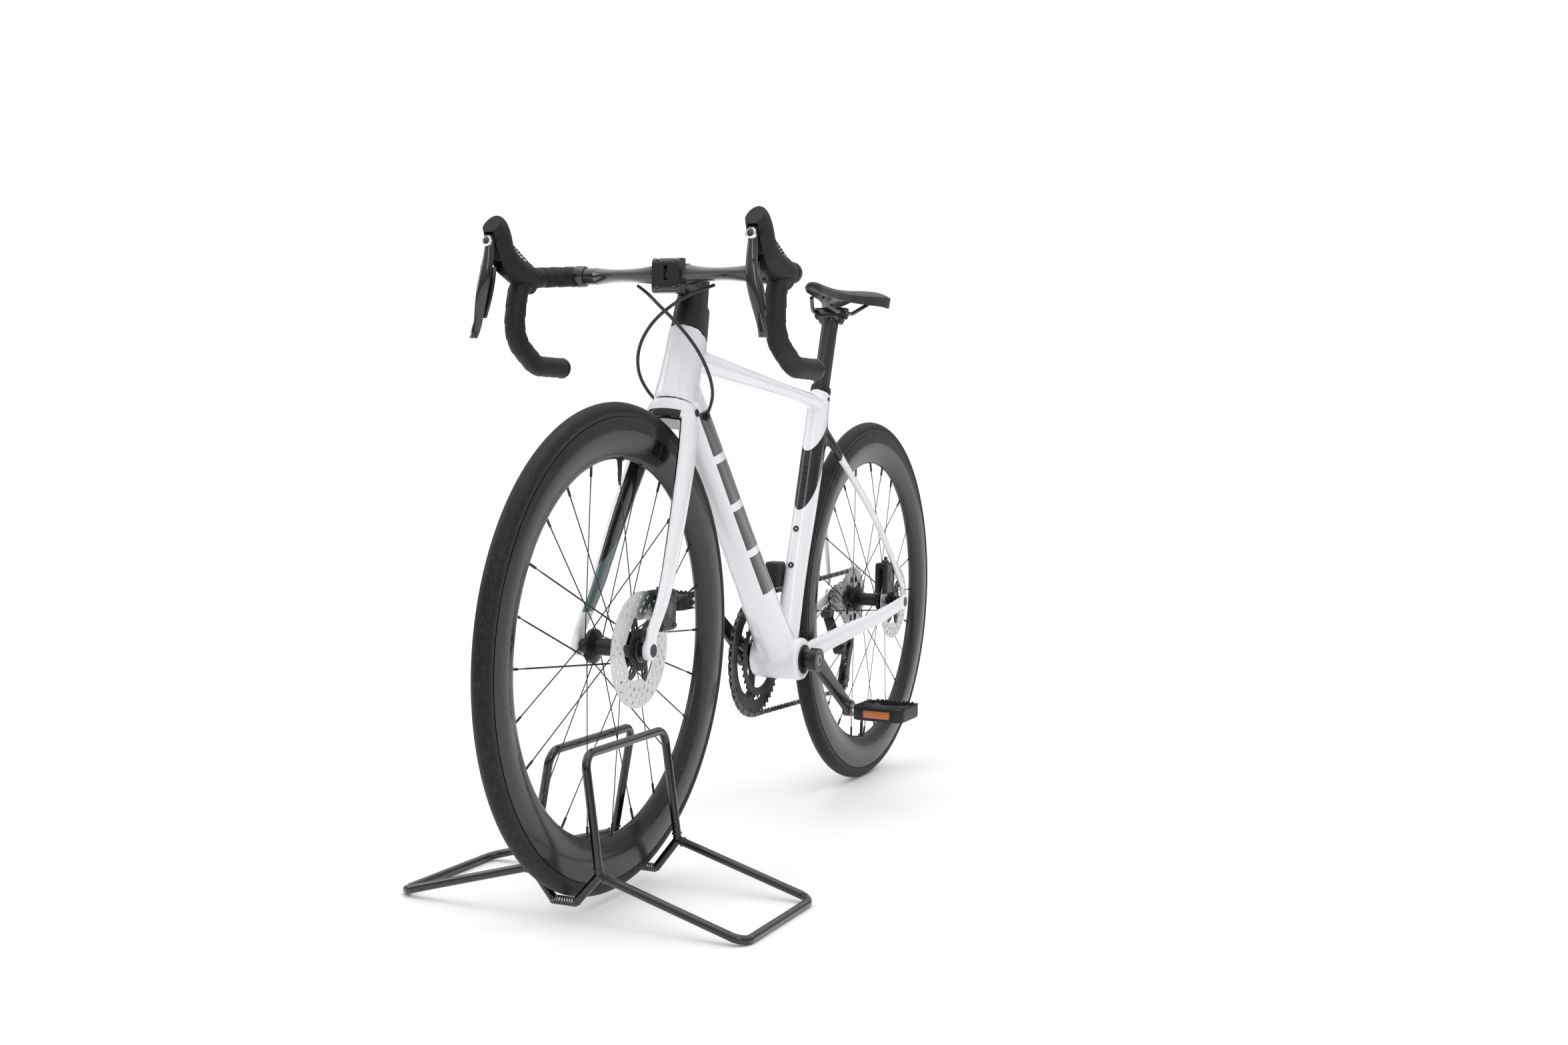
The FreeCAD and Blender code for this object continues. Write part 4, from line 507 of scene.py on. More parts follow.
def link_piece(obj: Object, finish: str, body: str | None) -> Object:
    """Dress a finished mesh object, link it and let it ride on its body.

    Args:
        obj: The object.
        finish: Name of its finish.
        body: Body that it moves with; none for a piece that spans two bodies.

    Returns:
        The same object.
    """
    obj.data.materials.clear()
    obj.data.materials.append(finish_of(finish))
    if obj.name not in bpy.context.scene.collection.objects:
        bpy.context.scene.collection.objects.link(obj)
    if body:
        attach(obj, body)
    LOG.info("built %s with %d faces", obj.name, len(obj.data.polygons))
    return obj


def finish_piece(name: str, bm: BMesh, finish: str, body: str | None,
                 crease: float = 0.55) -> Object:
    """Turn a bmesh into a smooth-shaded named piece.

    Args:
        name: Name of the piece.
        bm: The mesh, freed here.
        finish: Name of its finish.
        body: Body that it moves with.
        crease: Angle in radians past which an edge stays sharp.

    Returns:
        The new object.
    """
    bmesh.ops.remove_doubles(bm, verts=bm.verts, dist=0.000002)
    bmesh.ops.recalc_face_normals(bm, faces=bm.faces)
    mesh = bpy.data.meshes.new(name)
    bm.to_mesh(mesh)
    bm.free()
    mesh.shade_smooth()
    mesh.set_sharp_from_angle(angle=crease)
    return link_piece(bpy.data.objects.new(name, mesh), finish, body)


def sized(*pairs: tuple[float, float]) -> list[tuple[float, float]]:
    """Profile given in millimetres, in metres."""
    return [(first * MM, second * MM) for first, second in pairs]


def turned(bm: BMesh, profile: Sequence[tuple[float, float]], centre: Vector, axis: Vector = Y_AXIS,
           steps: int = 48) -> None:
    """Add a closed solid of revolution.

    Args:
        bm: Mesh to add to.
        profile: Points as (radius, distance along the axis) in metres, round a closed outline.
        centre: Point on the axis.
        axis: Direction of the axis.
        steps: Faces round the axis.
    """
    side = axis.orthogonal().normalized()
    verts = [bm.verts.new(centre + side * radius + axis * height) for radius, height in profile]
    edges = [bm.edges.new((first, second)) for first, second in zip(verts, verts[1:] + verts[:1])]
    bmesh.ops.spin(bm, geom=verts + edges, cent=centre, axis=axis, dvec=(0, 0, 0), angle=TURN, steps=steps,
                   use_merge=True, use_normal_flip=False, use_duplicate=False)


def pin(bm: BMesh, start: Vector, end: Vector, radius: float, steps: int = 16, chamfer: float = 0.0) -> None:
    """Add a round pin with chamfered ends between two points."""
    along = end - start
    length = along.length
    edge = chamfer or min(radius, length) * 0.12
    profile = [(0.0, 0.0), (radius - edge, 0.0), (radius, edge), (radius, length - edge),
               (radius - edge, length), (0.0, length)]
    turned(bm, profile, start, along.normalized(), steps)


def path_places(points: Sequence[Vector], sizes: Sequence[tuple[float, float]], side: Vector) -> list[Matrix]:
    """Placements of a unit outline along a path, without twist.

    Args:
        points: The path's points.
        sizes: Half width and half height at each point.
        side: Rough direction of the width at the start.

    Returns:
        One matrix for each point.
    """
    places = []
    last = len(points) - 1
    for index, point in enumerate(points):
        ahead = (points[min(index + 1, last)] - points[max(index - 1, 0)]).normalized()
        side = (side - ahead * side.dot(ahead)).normalized()
        wide, high = sizes[index]
        turn = Matrix((side * wide, ahead.cross(side) * high, ahead * min(wide, high))).transposed()
        places.append(Matrix.Translation(point) @ turn.to_4x4())
    return places


def sweep(bm: BMesh, places: Sequence[Matrix], sides: int = 12) -> list[list[BMVert]]:
    """Add a closed tube through placements of a unit circle.

    Args:
        bm: Mesh to add to.
        places: Placements, in order.
        sides: Corners of the circle.

    Returns:
        The rings of vertices, in order.
    """
    ring = bmesh.ops.create_circle(bm, cap_ends=False, segments=sides, radius=1.0)["verts"]
    bmesh.ops.transform(bm, matrix=places[0], verts=ring)
    edges = list({edge for vert in ring for edge in vert.link_edges})
    rings = [ring]
    first_edges = edges
    for before, after in zip(places, places[1:]):
        grown = bmesh.ops.extrude_edge_only(bm, edges=edges)["geom"]
        ring = [item for item in grown if isinstance(item, BMVert)]
        fresh = set(ring)
        edges = [item for item in grown if isinstance(item, BMEdge) and set(item.verts) <= fresh]
        bmesh.ops.transform(bm, matrix=after @ before.inverted(), verts=ring)
        rings.append(ring)
    bmesh.ops.edgeloop_fill(bm, edges=first_edges)
    bmesh.ops.edgeloop_fill(bm, edges=edges)
    return rings


def lofted(bm: BMesh, rings: Sequence[Sequence[Vector]]) -> None:
    """Add a closed solid through rings of points with the same count."""
    loops = []
    for ring in rings:
        verts = [bm.verts.new(point) for point in ring]
        loops.append([bm.edges.new(pair) for pair in zip(verts, verts[1:] + verts[:1])])
    for before, after in zip(loops, loops[1:]):
        bmesh.ops.bridge_loops(bm, edges=before + after)
    bmesh.ops.edgeloop_fill(bm, edges=loops[0])
    bmesh.ops.edgeloop_fill(bm, edges=loops[-1])


def rounded_box(bm: BMesh, low: Vector, high: Vector, bevel: float, segments: int = 2,
                turn: Matrix | None = None) -> None:
    """Add a box with rounded edges between two corners, turned about its middle if asked."""
    made = bmesh.ops.create_cube(bm, size=1.0)["verts"]
    size = high - low
    bmesh.ops.scale(bm, vec=size, verts=made)
    edges = list({edge for vert in made for edge in vert.link_edges})
    rounded = bmesh.ops.bevel(bm, geom=edges, offset=bevel, segments=segments, profile=0.5, affect="EDGES",
                              material=-1, clamp_overlap=True)
    verts = {vert for face in rounded["faces"] for vert in face.verts}
    verts |= {vert for vert in made if vert.is_valid}
    place = Matrix.Translation((low + high) / 2) @ (turn.to_4x4() if turn else Matrix.Identity(4))
    bmesh.ops.transform(bm, matrix=place, verts=list(verts))


def rounded_path(corners: Sequence[Vector], radii: Sequence[float], step: float) -> list[Vector]:
    """Points along straight runs joined by arcs, a step apart on the arcs and runs."""
    knots = [corners[0]]
    for before, corner, after, radius in zip(corners, corners[1:], corners[2:], radii):
        inward = (before - corner).normalized()
        outward = (after - corner).normalized()
        half_turn = (pi - inward.angle(outward)) / 2
        back = radius * tan(half_turn)
        middle = corner + (inward + outward).normalized() * (radius / cos(half_turn))
        enter = corner + inward * back - middle
        leave = corner + outward * back - middle
        axis = enter.cross(leave).normalized()
        pieces = max(2, round(2 * half_turn * radius / step))
        for index in range(pieces + 1):
            knots.append(middle + Matrix.Rotation(2 * half_turn * index / pieces, 3, axis) @ enter)
    knots.append(corners[-1])
    points = [knots[0]]
    for start, end in zip(knots, knots[1:]):
        pieces = max(1, round((end - start).length / step))
        points += [start.lerp(end, index / pieces) for index in range(1, pieces + 1)]
    return points


def round_at(reach: float, angle: float) -> tuple[float, float]:
    """Point at a reach and an angle round the origin."""
    return reach * cos(angle), reach * sin(angle)


def circle_loop(radius: float, count: int,
                centre: tuple[float, float] = (0.0, 0.0)) -> list[tuple[float, float]]:
    """Corners of a circle in a plate's plane."""
    return [(centre[0] + radius * cos(TURN * index / count), centre[1] + radius * sin(TURN * index / count))
            for index in range(count)]


def plate(bm: BMesh, loops: Sequence[Sequence[tuple[float, float]]], thickness: float,
          centre: Vector) -> None:
    """Add a flat plate, facing Y, with an outline and holes.

    Args:
        bm: Mesh to add to.
        loops: The outline and the holes as (x, z) corners about the centre.
        thickness: Full thickness.
        centre: Middle of the plate.
    """
    curve = bpy.data.curves.new("plate_outline", "CURVE")
    curve.dimensions = "2D"
    curve.fill_mode = "BOTH"
    curve.extrude = thickness / 2
    for loop in loops:
        spline = curve.splines.new("POLY")
        spline.points.add(len(loop) - 1)
        for point, (x, z) in zip(spline.points, loop):
            point.co = (x, z, 0.0, 1.0)
        spline.use_cyclic_u = True
    holder = bpy.data.objects.new("plate_outline", curve)
    mesh = bpy.data.meshes.new_from_object(holder)
    mesh.transform(Matrix.Translation(centre) @ Matrix.Rotation(pi / 2, 4, "X"))
    bm.from_mesh(mesh)
    bpy.data.objects.remove(holder)
    bpy.data.curves.remove(curve)
    bpy.data.meshes.remove(mesh)


def stamp(bm: BMesh, template: Mesh, place: Matrix) -> None:
    """Add a copy of a template mesh at a placement."""
    before = len(bm.verts)
    bm.from_mesh(template)
    bm.verts.ensure_lookup_table()
    bmesh.ops.transform(bm, matrix=place, verts=bm.verts[before:])


# ---------------------------------------------------------------- studio

@dataclass
class Studio:
    """Pale floor, soft lights and the camera."""

    camera_at: Vector = field(default_factory=lambda: Vector((2.52933, 1.12589, 0.64295)))
    yaw: float = radians(203.271)
    pitch: float = radians(-2.896)
    roll: float = radians(1.283)
    lens: float = 38.93
    floor_size: float = 60.0
    side_level: float = 0.20
    top_level: float = 1.60
    backdrop_level: float = 1.04

    def camera(self) -> None:
        """Set the camera at its viewing angle."""
        data = bpy.data.cameras.new("camera")
        data.lens = self.lens
        data.sensor_width = 36.0
        data.clip_end = 100.0
        level = cos(self.pitch)
        ahead = Vector((level * cos(self.yaw), level * sin(self.yaw), sin(self.pitch)))
        right = ahead.cross(Z_AXIS).normalized()
        up = right.cross(ahead)
        right_rolled = right * cos(self.roll) + up * sin(self.roll)
        up_rolled = up * cos(self.roll) - right * sin(self.roll)
        turn = Matrix((right_rolled, up_rolled, -ahead)).transposed().to_4x4()
        camera = bpy.data.objects.new("camera", data)
        camera.matrix_world = Matrix.Translation(self.camera_at) @ turn
        bpy.context.scene.collection.objects.link(camera)
        bpy.context.scene.camera = camera

    def floor(self) -> None:
        """Lay the pale floor."""
        bm = bmesh.new()
        bmesh.ops.create_grid(bm, x_segments=1, y_segments=1, size=self.floor_size / 2)
        mesh = bpy.data.meshes.new("floor")
        bm.to_mesh(mesh)
        bm.free()
        floor = bpy.data.objects.new("floor", mesh)
        bpy.context.scene.collection.objects.link(floor)
        sheet = NodeSheet("floor_paint")
        sheet.set(Base_Color=(0.985, 0.985, 0.985), Roughness=0.5, Specular_IOR_Level=0.3)
        floor.data.materials.append(sheet.material)

    def light(self, name: str, at: Colour, aim: Colour, size: float, power: float) -> None:
        """Hang one square soft light.

        Args:
            name: Name of the light.
            at: Place in metres.
            aim: Point it faces.
            size: Side in metres.
            power: Power in watts.
        """
        data = bpy.data.lights.new(name, "AREA")
        data.shape = "SQUARE"
        data.size = size
        data.energy = power
        lamp = bpy.data.objects.new(name, data)
        place = Vector(at)
        turn = (Vector(aim) - place).to_track_quat("-Z", "Y").to_matrix().to_4x4()
        lamp.matrix_world = Matrix.Translation(place) @ turn
        bpy.context.scene.collection.objects.link(lamp)

    def sky(self) -> None:
        """Surround the scene with plain white that lights more from above than from the sides."""
        world = bpy.data.worlds.new("studio")
        world.use_nodes = True
        tree = world.node_tree
        background = tree.nodes["Background"]
        background.inputs["Color"].default_value = (1.0, 1.0, 1.0, 1.0)
        place = tree.nodes.new("ShaderNodeTexCoord")
        axes = tree.nodes.new("ShaderNodeSeparateXYZ")
        ramp = tree.nodes.new("ShaderNodeMapRange")
        ramp.inputs["To Min"].default_value = self.side_level
        ramp.inputs["To Max"].default_value = self.top_level
        rays = tree.nodes.new("ShaderNodeLightPath")
        level = tree.nodes.new("ShaderNodeMix")
        level.inputs["B"].default_value = self.backdrop_level
        for start, end in ((place.outputs["Generated"], axes.inputs[0]),
                           (axes.outputs["Z"], ramp.inputs["Value"]),
                           (ramp.outputs["Result"], level.inputs["A"]),
                           (rays.outputs["Is Camera Ray"], level.inputs["Factor"]),
                           (level.outputs["Result"], background.inputs["Strength"])):
            tree.links.new(start, end)
        bpy.context.scene.world = world

    def build(self) -> None:
        """Build the whole studio."""
        self.camera()
        self.floor()
        self.sky()
        self.light("top_light", (0.4, 0.3, 3.4), (0.0, 0.0, 0.3), 2.4, 14.0)
        self.light("front_left_light", (2.6, 2.8, 2.2), (0.2, 0.0, 0.5), 1.2, 14.0)
        self.light("right_light", (0.8, -3.0, 1.8), (0.0, 0.0, 0.5), 1.4, 12.0)
        bpy.context.scene.view_settings.view_transform = "Standard"


# ---------------------------------------------------------------- hoses

@dataclass
class Hoses:
    """Hoses that cross from the bar to the frame, and the hose down to the front caliper."""

    bar: Vector = field(default_factory=lambda: centre_of("handlebar"))
    bar_x: float = 0.340
    bar_z: float = 0.872
    diameter: float = 5 * MM

    def crossing_route(self, side: int) -> list[Vector]:
        """Points of the hose to one side's port."""
        lift = 6 * MM if side > 0 else 0.0
        offsets = [
            (-14, -62, -14), (2, -40, -24), (16, -12, -42), (20, 20, -68), (12, 46, -102),
            (-8, 58, -138), (-34, 54, -168), (-56, 38, -190), (-68.8, 26.1, -201),
        ]
        points = [Vector((self.bar_x + x * MM, side * y * MM, self.bar_z + z * MM)) for x, y, z in offsets]
        points[2].x += lift
        points[3].x += lift
        return points

    def front_route(self) -> list[Vector]:
        """Points of the hose from the blade's port to the front caliper."""
        offsets = [(-92, 37, 172), (-98, 34.5, 140), (-94, 34, 108), (-80, 34.5, 78.2)]
        return [FRONT_AXLE + Vector((x, y, z)) * MM for x, y, z in offsets]

    def centreline(self, route: Sequence[Vector]) -> list[Vector]:
        """Points along the smooth spline that the route controls."""
        curve = bpy.data.curves.new("route", "CURVE")
        curve.dimensions = "3D"
        curve.resolution_u = 12
        spline = curve.splines.new("NURBS")
        spline.points.add(len(route) - 1)
        for point, place in zip(spline.points, route):
            point.co = (*place, 1.0)
        spline.order_u = 3
        spline.use_endpoint_u = True
        holder = bpy.data.objects.new("route", curve)
        mesh = bpy.data.meshes.new_from_object(holder)
        points = [vert.co.copy() for vert in mesh.vertices]
        bpy.data.objects.remove(holder)
        bpy.data.curves.remove(curve)
        bpy.data.meshes.remove(mesh)
        return points

    def hose(self, name: str, route: Sequence[Vector], body: str | None) -> tuple[Object, list[Vector]]:
        """Build one hose as a smooth tube along its route."""
        points = self.centreline(route)
        bm = bmesh.new()
        radius = self.diameter / 2
        sweep(bm, path_places(points, [(radius, radius)] * len(points), X_AXIS), 14)
        return finish_piece(name, bm, "hose_jacket", body, 0.9), points

    def build(self) -> None:
        """Build all three hoses."""
        for side, name in ((1, "left"), (-1, "right")):
            route = self.crossing_route(side)
            piece, points = self.hose("brake_hose_" + name, route, None)
            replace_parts(piece, "hose_" + name)
            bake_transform(piece)
        piece, points = self.hose("front_caliper_hose", self.front_route(), "fork")
        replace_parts(piece, "front_brake_hose")


# ---------------------------------------------------------------- moulded frame and fork

Station = tuple[Vector, float, float, float]


def outline(centre: Vector, ahead: Vector, side: Vector, nose: float, tail: float, half_width: float,
            power: float = 1.0, count: int = 32) -> list[Vector]:
    """Ring of points, round in front and drawn out behind; sizes in millimetres.

    Args:
        centre: Middle of the section.
        ahead: Direction of its nose.
        side: Direction of its width.
        nose: Reach ahead of the centre.
        tail: Reach behind the centre.
        half_width: Reach to each side.
        power: 1 for an ellipse, less for squarer corners.
        count: Points round the ring.

    Returns:
        The ring's points in metres.
    """
    ring = []
    for step in range(count):
        along = cos(TURN * step / count)
        across = sin(TURN * step / count)
        along = copysign(abs(along) ** power, along) * (nose if along > 0 else tail) * MM
        across = copysign(abs(across) ** power, across) * half_width * MM
        ring.append(centre + ahead * along + side * across)
    return ring


def tube(bm: BMesh, stations: Sequence[Station], ahead: Vector, power: float = 1.0) -> None:
    """Add a closed tube through stations of centre, nose, tail and half width."""
    rings = [outline(centre, ahead, Y_AXIS, nose, tail, half, power) for centre, nose, tail, half in stations]
    smooth = []
    for index in range(len(rings) - 1):
        before = rings[max(index - 1, 0)]
        after = rings[min(index + 2, len(rings) - 1)]
        for share in (0.0, 0.25, 0.5, 0.75):
            smooth.append([eased(one, two, three, four, share) for one, two, three, four
                           in zip(before, rings[index], rings[index + 1], after)])
    smooth.append(rings[-1])
    lofted(bm, smooth)


def eased(before: Vector, start: Vector, end: Vector, after: Vector, share: float) -> Vector:
    """Point on a smooth curve through a row of four points."""
    first = (end - before) * 0.5
    last = (after - start) * 0.5
    square = share * share
    cube = square * share
    return (start * (2 * cube - 3 * square + 1) + first * (cube - 2 * square + share)
            + end * (3 * square - 2 * cube) + last * (cube - square))


def mm(x: float, y: float, z: float) -> Vector:
    """Point given in millimetres."""
    return Vector((x, y, z)) * MM


@dataclass
class Moulding:
    """Closed lofts melted into one body with soft joints, then cut for what passes through it."""

    name: str
    body: str
    finish: str
    replaces: tuple[str, ...]
    voxel: float = 2.9 * MM
    passes: int = 9

    def solid(self, name: str, bm: BMesh) -> Object:
        """Turn a bmesh into a linked working object."""
        bmesh.ops.recalc_face_normals(bm, faces=bm.faces)
        mesh = bpy.data.meshes.new(name)
        bm.to_mesh(mesh)
        bm.free()
        obj = bpy.data.objects.new(name, mesh)
        bpy.context.scene.collection.objects.link(obj)
        return obj

    def build(self, forms: BMesh, cuts: Sequence[BMesh]) -> Object:
        """Melt the forms, cut them and finish the piece.

        Args:
            forms: The closed lofts.
            cuts: Closed cutters, each without overlaps of its own.

        Returns:
            The finished piece.
        """
        piece = self.solid(self.name, forms)
        melt = piece.modifiers.new("melt", "REMESH")
        melt.mode = "VOXEL"
        melt.voxel_size = self.voxel
        soften = piece.modifiers.new("soften", "SMOOTH")
        soften.iterations = self.passes
        cutters = []
        for index, cut in enumerate(cuts):
            cutter = self.solid(f"{self.name}_cut_{index}", cut)
            cutters.append(cutter)
            knife = piece.modifiers.new(f"cut_{index}", "BOOLEAN")
            knife.operation = "DIFFERENCE"
            knife.object = cutter
            knife.solver = "EXACT"
        sheet = bpy.context.evaluated_depsgraph_get()
        baked = bpy.data.meshes.new_from_object(piece.evaluated_get(sheet))
        piece.modifiers.clear()
        rough = piece.data
        piece.data = baked
        bpy.data.meshes.remove(rough)
        baked.name = self.name
        for cutter in cutters:
            shape = cutter.data
            bpy.data.objects.remove(cutter)
            bpy.data.meshes.remove(shape)
        baked.shade_smooth()
        baked.set_sharp_from_angle(angle=0.9)
        link_piece(piece, self.finish, self.body)
        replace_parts(piece, *self.replaces)
        return piece


HEAD_BOTTOM = 0.689
HEAD_TOP = 0.797
SEAT_TUBE_TOP = 0.722
STEERING_BASE = FRONT_AXLE - Vector((HEAD_UP.z, 0, -HEAD_UP.x)) * 0.050
HEAD_AHEAD = Vector((HEAD_UP.z, 0, -HEAD_UP.x))
SEAT_AHEAD = Vector((SEAT_UP.z, 0, -SEAT_UP.x))
BAR = mm(340, 0, 872)


def head_axis(height: float) -> Vector:
    """Point of the steering axis at a height."""
    return STEERING_BASE + HEAD_UP * ((height - STEERING_BASE.z) / HEAD_UP.z)


def seat_axis(height: float) -> Vector:
    """Point of the seat tube's centre line at a height."""
    foot = BOTTOM_BRACKET - X_AXIS * 0.016
    return foot + SEAT_UP * ((height - foot.z) / SEAT_UP.z)


def across_pin(bm: BMesh, centre: Vector, start: float, end: float, radius: float, steps: int = 32) -> None:
    """Add a plain cylinder along Y through a centre's X and Z; sizes in millimetres."""
    turned(bm, [(0.0, start * MM), (radius * MM, start * MM), (radius * MM, end * MM), (0.0, end * MM)],
           mid_plane(centre), Y_AXIS, steps)


class FrameShell:
    """White moulded frame from the head tube to the dropouts."""

    def main_tubes(self, bm: BMesh) -> None:
        """Add the head, down, top and seat tubes and the bottom bracket shell."""
        low, high = head_axis(HEAD_BOTTOM), head_axis(HEAD_TOP)
        tube(bm, [(low, 29.5, 44.0, 29.5), ((low + high) / 2, 26.0, 58.0, 24.5), (high, 23.0, 60.0, 23.5)],
             HEAD_AHEAD)
        top_z = HEAD_BOTTOM + 0.035
        top = Vector((head_axis(top_z).x - 0.002, 0, top_z))
        run = top - BOTTOM_BRACKET
        along = run.normalized()
        down = Vector((along.z, 0, -along.x))
        tube(bm, [(BOTTOM_BRACKET + along * 0.018, 30, 30, 36), (BOTTOM_BRACKET + run * 0.185, 31, 31, 29),
                  (BOTTOM_BRACKET + run * 0.505, 31, 31, 25), (BOTTOM_BRACKET + run * 0.842, 31, 31, 24),
                  (top, 30, 30, 22)], down, 0.85)
        front = Vector((head_axis(HEAD_BOTTOM + 0.071).x, 0, HEAD_BOTTOM + 0.068))
        rear = Vector((seat_axis(SEAT_TUBE_TOP - 0.018).x, 0, SEAT_TUBE_TOP - 0.019))
        tube(bm, [(rear, 11.5, 11.5, 14.5), (rear.lerp(front, 0.35), 12.5, 12.5, 16.0),
                  (rear.lerp(front, 0.8), 16.5, 18.0, 19.0), (front, 19.0, 21.0, 20.0)], Z_AXIS, 0.8)
        foot = BOTTOM_BRACKET.z
        tube(bm, [(seat_axis(foot + 0.020), 22, 22, 21), (seat_axis(foot + 0.130), 24, 25, 18),
                  (seat_axis(foot + 0.250), 24, 36, 17.5), (seat_axis(foot + 0.360), 25, 40, 17.5),
                  (seat_axis(SEAT_TUBE_TOP - 0.030), 25, 28, 17.5),
                  (seat_axis(SEAT_TUBE_TOP), 24, 24, 16.5)], SEAT_AHEAD)
        across_pin(bm, BOTTOM_BRACKET, -43, 43, 36, 48)

    def stays(self, bm: BMesh, side: int) -> None:
        """Add one side's chainstay, seatstay and dropout."""
        hub = REAR_AXLE
        bb = BOTTOM_BRACKET

        def at(x: float, y: float, z: float) -> Vector:
            """Point on this side."""
            return Vector((x, side * y * MM, z))

        tube(bm, [(at(bb.x - 0.026, 29, bb.z - 0.002), 24, 22, 9.5),
                  (at(bb.x - 0.105, 28.5, bb.z + 0.010), 19, 19, 8),
                  (at(hub.x + 0.223, 40, hub.z - 0.042), 17, 17, 8),
                  (at(hub.x + 0.098, 64, hub.z - 0.020), 15, 15, 7),
                  (at(hub.x + 0.014, 75, hub.z - 0.002), 14, 14, 4)], Z_AXIS)
        root = seat_axis(SEAT_TUBE_TOP - 0.082)
        slope = Vector((0.75, 0, -0.66))
        tube(bm, [(at(root.x - 0.024, 10, root.z + 0.012), 13, 13, 6.5),
                  (at(root.x - 0.062, 25, root.z - 0.030), 9.5, 9.5, 6),
                  (at(hub.x + 0.091, 53, hub.z + 0.149), 8, 8, 5.5),
                  (at(hub.x + 0.003, 75, hub.z + 0.026), 8.5, 8.5, 4)],
             slope)
        across_pin(bm, hub, *sorted((side * 71.0, side * 79.0)), 16.0)

    def cutters(self) -> list[BMesh]:
        """Cutters for the wheel, bearings, steerer, seatpost and axle."""
        first = bmesh.new()
        across_pin(first, REAR_AXLE, -20.5, 20.5, 344.0, 160)
        across_pin(first, BOTTOM_BRACKET, -60, 60, 20.5, 48)
        low = head_axis(HEAD_BOTTOM)
        length = (head_axis(HEAD_TOP) - low).length
        turned(first, [(0, -0.020), (0.026, -0.020), (0.026, 0.008), (0.0205, 0.008), (0.0205, 0.020),
                       (0.017, 0.020),
                       (0.017, length - 0.008), (0.021, length - 0.008), (0.021, length + 0.020),
                       (0, length + 0.020)],
               low, HEAD_UP, 40)
        post = [outline(seat_axis(height), SEAT_AHEAD, Y_AXIS, 20.3, 20.3, 12.8, 0.9)
                for height in (SEAT_TUBE_TOP - 0.174, SEAT_TUBE_TOP + 0.010)]
        lofted(first, post)
        second = bmesh.new()
        rounded_box(second, REAR_AXLE + mm(-30, -71, -40), REAR_AXLE + mm(34, 71, 40), 1 * MM)
        third = bmesh.new()
        across_pin(third, REAR_AXLE, -90, 90, 6.0)
        return [first, second, third]

    def build(self) -> None:
        """Build the frame and its small fittings."""
        forms = bmesh.new()
        self.main_tubes(forms)
        self.stays(forms, 1)
        self.stays(forms, -1)
        moulding = Moulding("moulded_frame", "frame", "frame_paint",
                            ("head_tube", "top_tube", "down_tube", "seat_tube", "bb_shell", "chainstays",
                             "seatstays"))
        moulding.build(forms, self.cutters())
        self.fittings()

    def fittings(self) -> None:
        """Build bottle bolts, hose grommets, bearing rims and the dropout plates."""
        bm = bmesh.new()
        mouth = seat_axis(BOTTOM_BRACKET.z + 0.147) + SEAT_AHEAD * 0.0242
        for up in (0.0, 0.064):
            turned(bm, [(0.0021, 0.0), (0.0052, 0.0), (0.0052, 0.0006), (0.0046, 0.0012), (0.0027, 0.0012),
                        (0.0021, 0.0006)],
                   mouth + SEAT_UP * up, SEAT_AHEAD, 20)
        top = Vector((head_axis(0.724).x - 0.002, 0, 0.724))
        along = (top - BOTTOM_BRACKET).normalized()
        up = Vector((-along.z, 0, along.x))
        for reach in (0.250, 0.314):
            turned(bm, [(0.0021, 0.0), (0.0055, 0.0), (0.0055, 0.0006), (0.0046, 0.0013), (0.0021, 0.0010)],
                   BOTTOM_BRACKET + along * reach + up * 0.0305, up, 20)
        finish_piece("bottle_bolts", bm, "black_alloy", "frame")
        bm = bmesh.new()
        for side in (1, -1):
            mouth = mm(340 - 68.8, side * 26.1, 872 - 201)
            inward = Vector((-0.55, -side * 0.55, -0.62)).normalized()
            turned(bm, [(0.0028, -0.0035), (0.0050, -0.0030), (0.0062, 0.0005), (0.0060, 0.0040),
                        (0.0028, 0.0040)],
                   mouth, inward, 24)
        finish_piece("hose_grommets", bm, "hood_rubber", "frame")
        bm = bmesh.new()
        low, high = head_axis(HEAD_BOTTOM), head_axis(HEAD_TOP)
        turned(bm, [(0.0196, 0.0), (0.0258, 0.0), (0.0258, 0.0078), (0.0196, 0.0078)], low, HEAD_UP, 48)
        turned(bm, [(0.0148, -0.0078), (0.0208, -0.0078), (0.0208, 0.0), (0.0148, 0.0)], high, HEAD_UP, 48)
        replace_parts(finish_piece("bearing_cartridges", bm, "grey_alloy", "frame"),
                    "headset_bearings")
        bm = bmesh.new()
        side_y = 0.0800
        turned(bm, [(0.0062, -0.0008), (0.0140, -0.0008), (0.0148, 0.0), (0.0062, 0.0)],
               Vector((REAR_AXLE.x, -side_y + 0.0004, REAR_AXLE.z)), -Y_AXIS, 40)
        finish_piece("dropout_plate", bm, "grey_alloy", "frame")


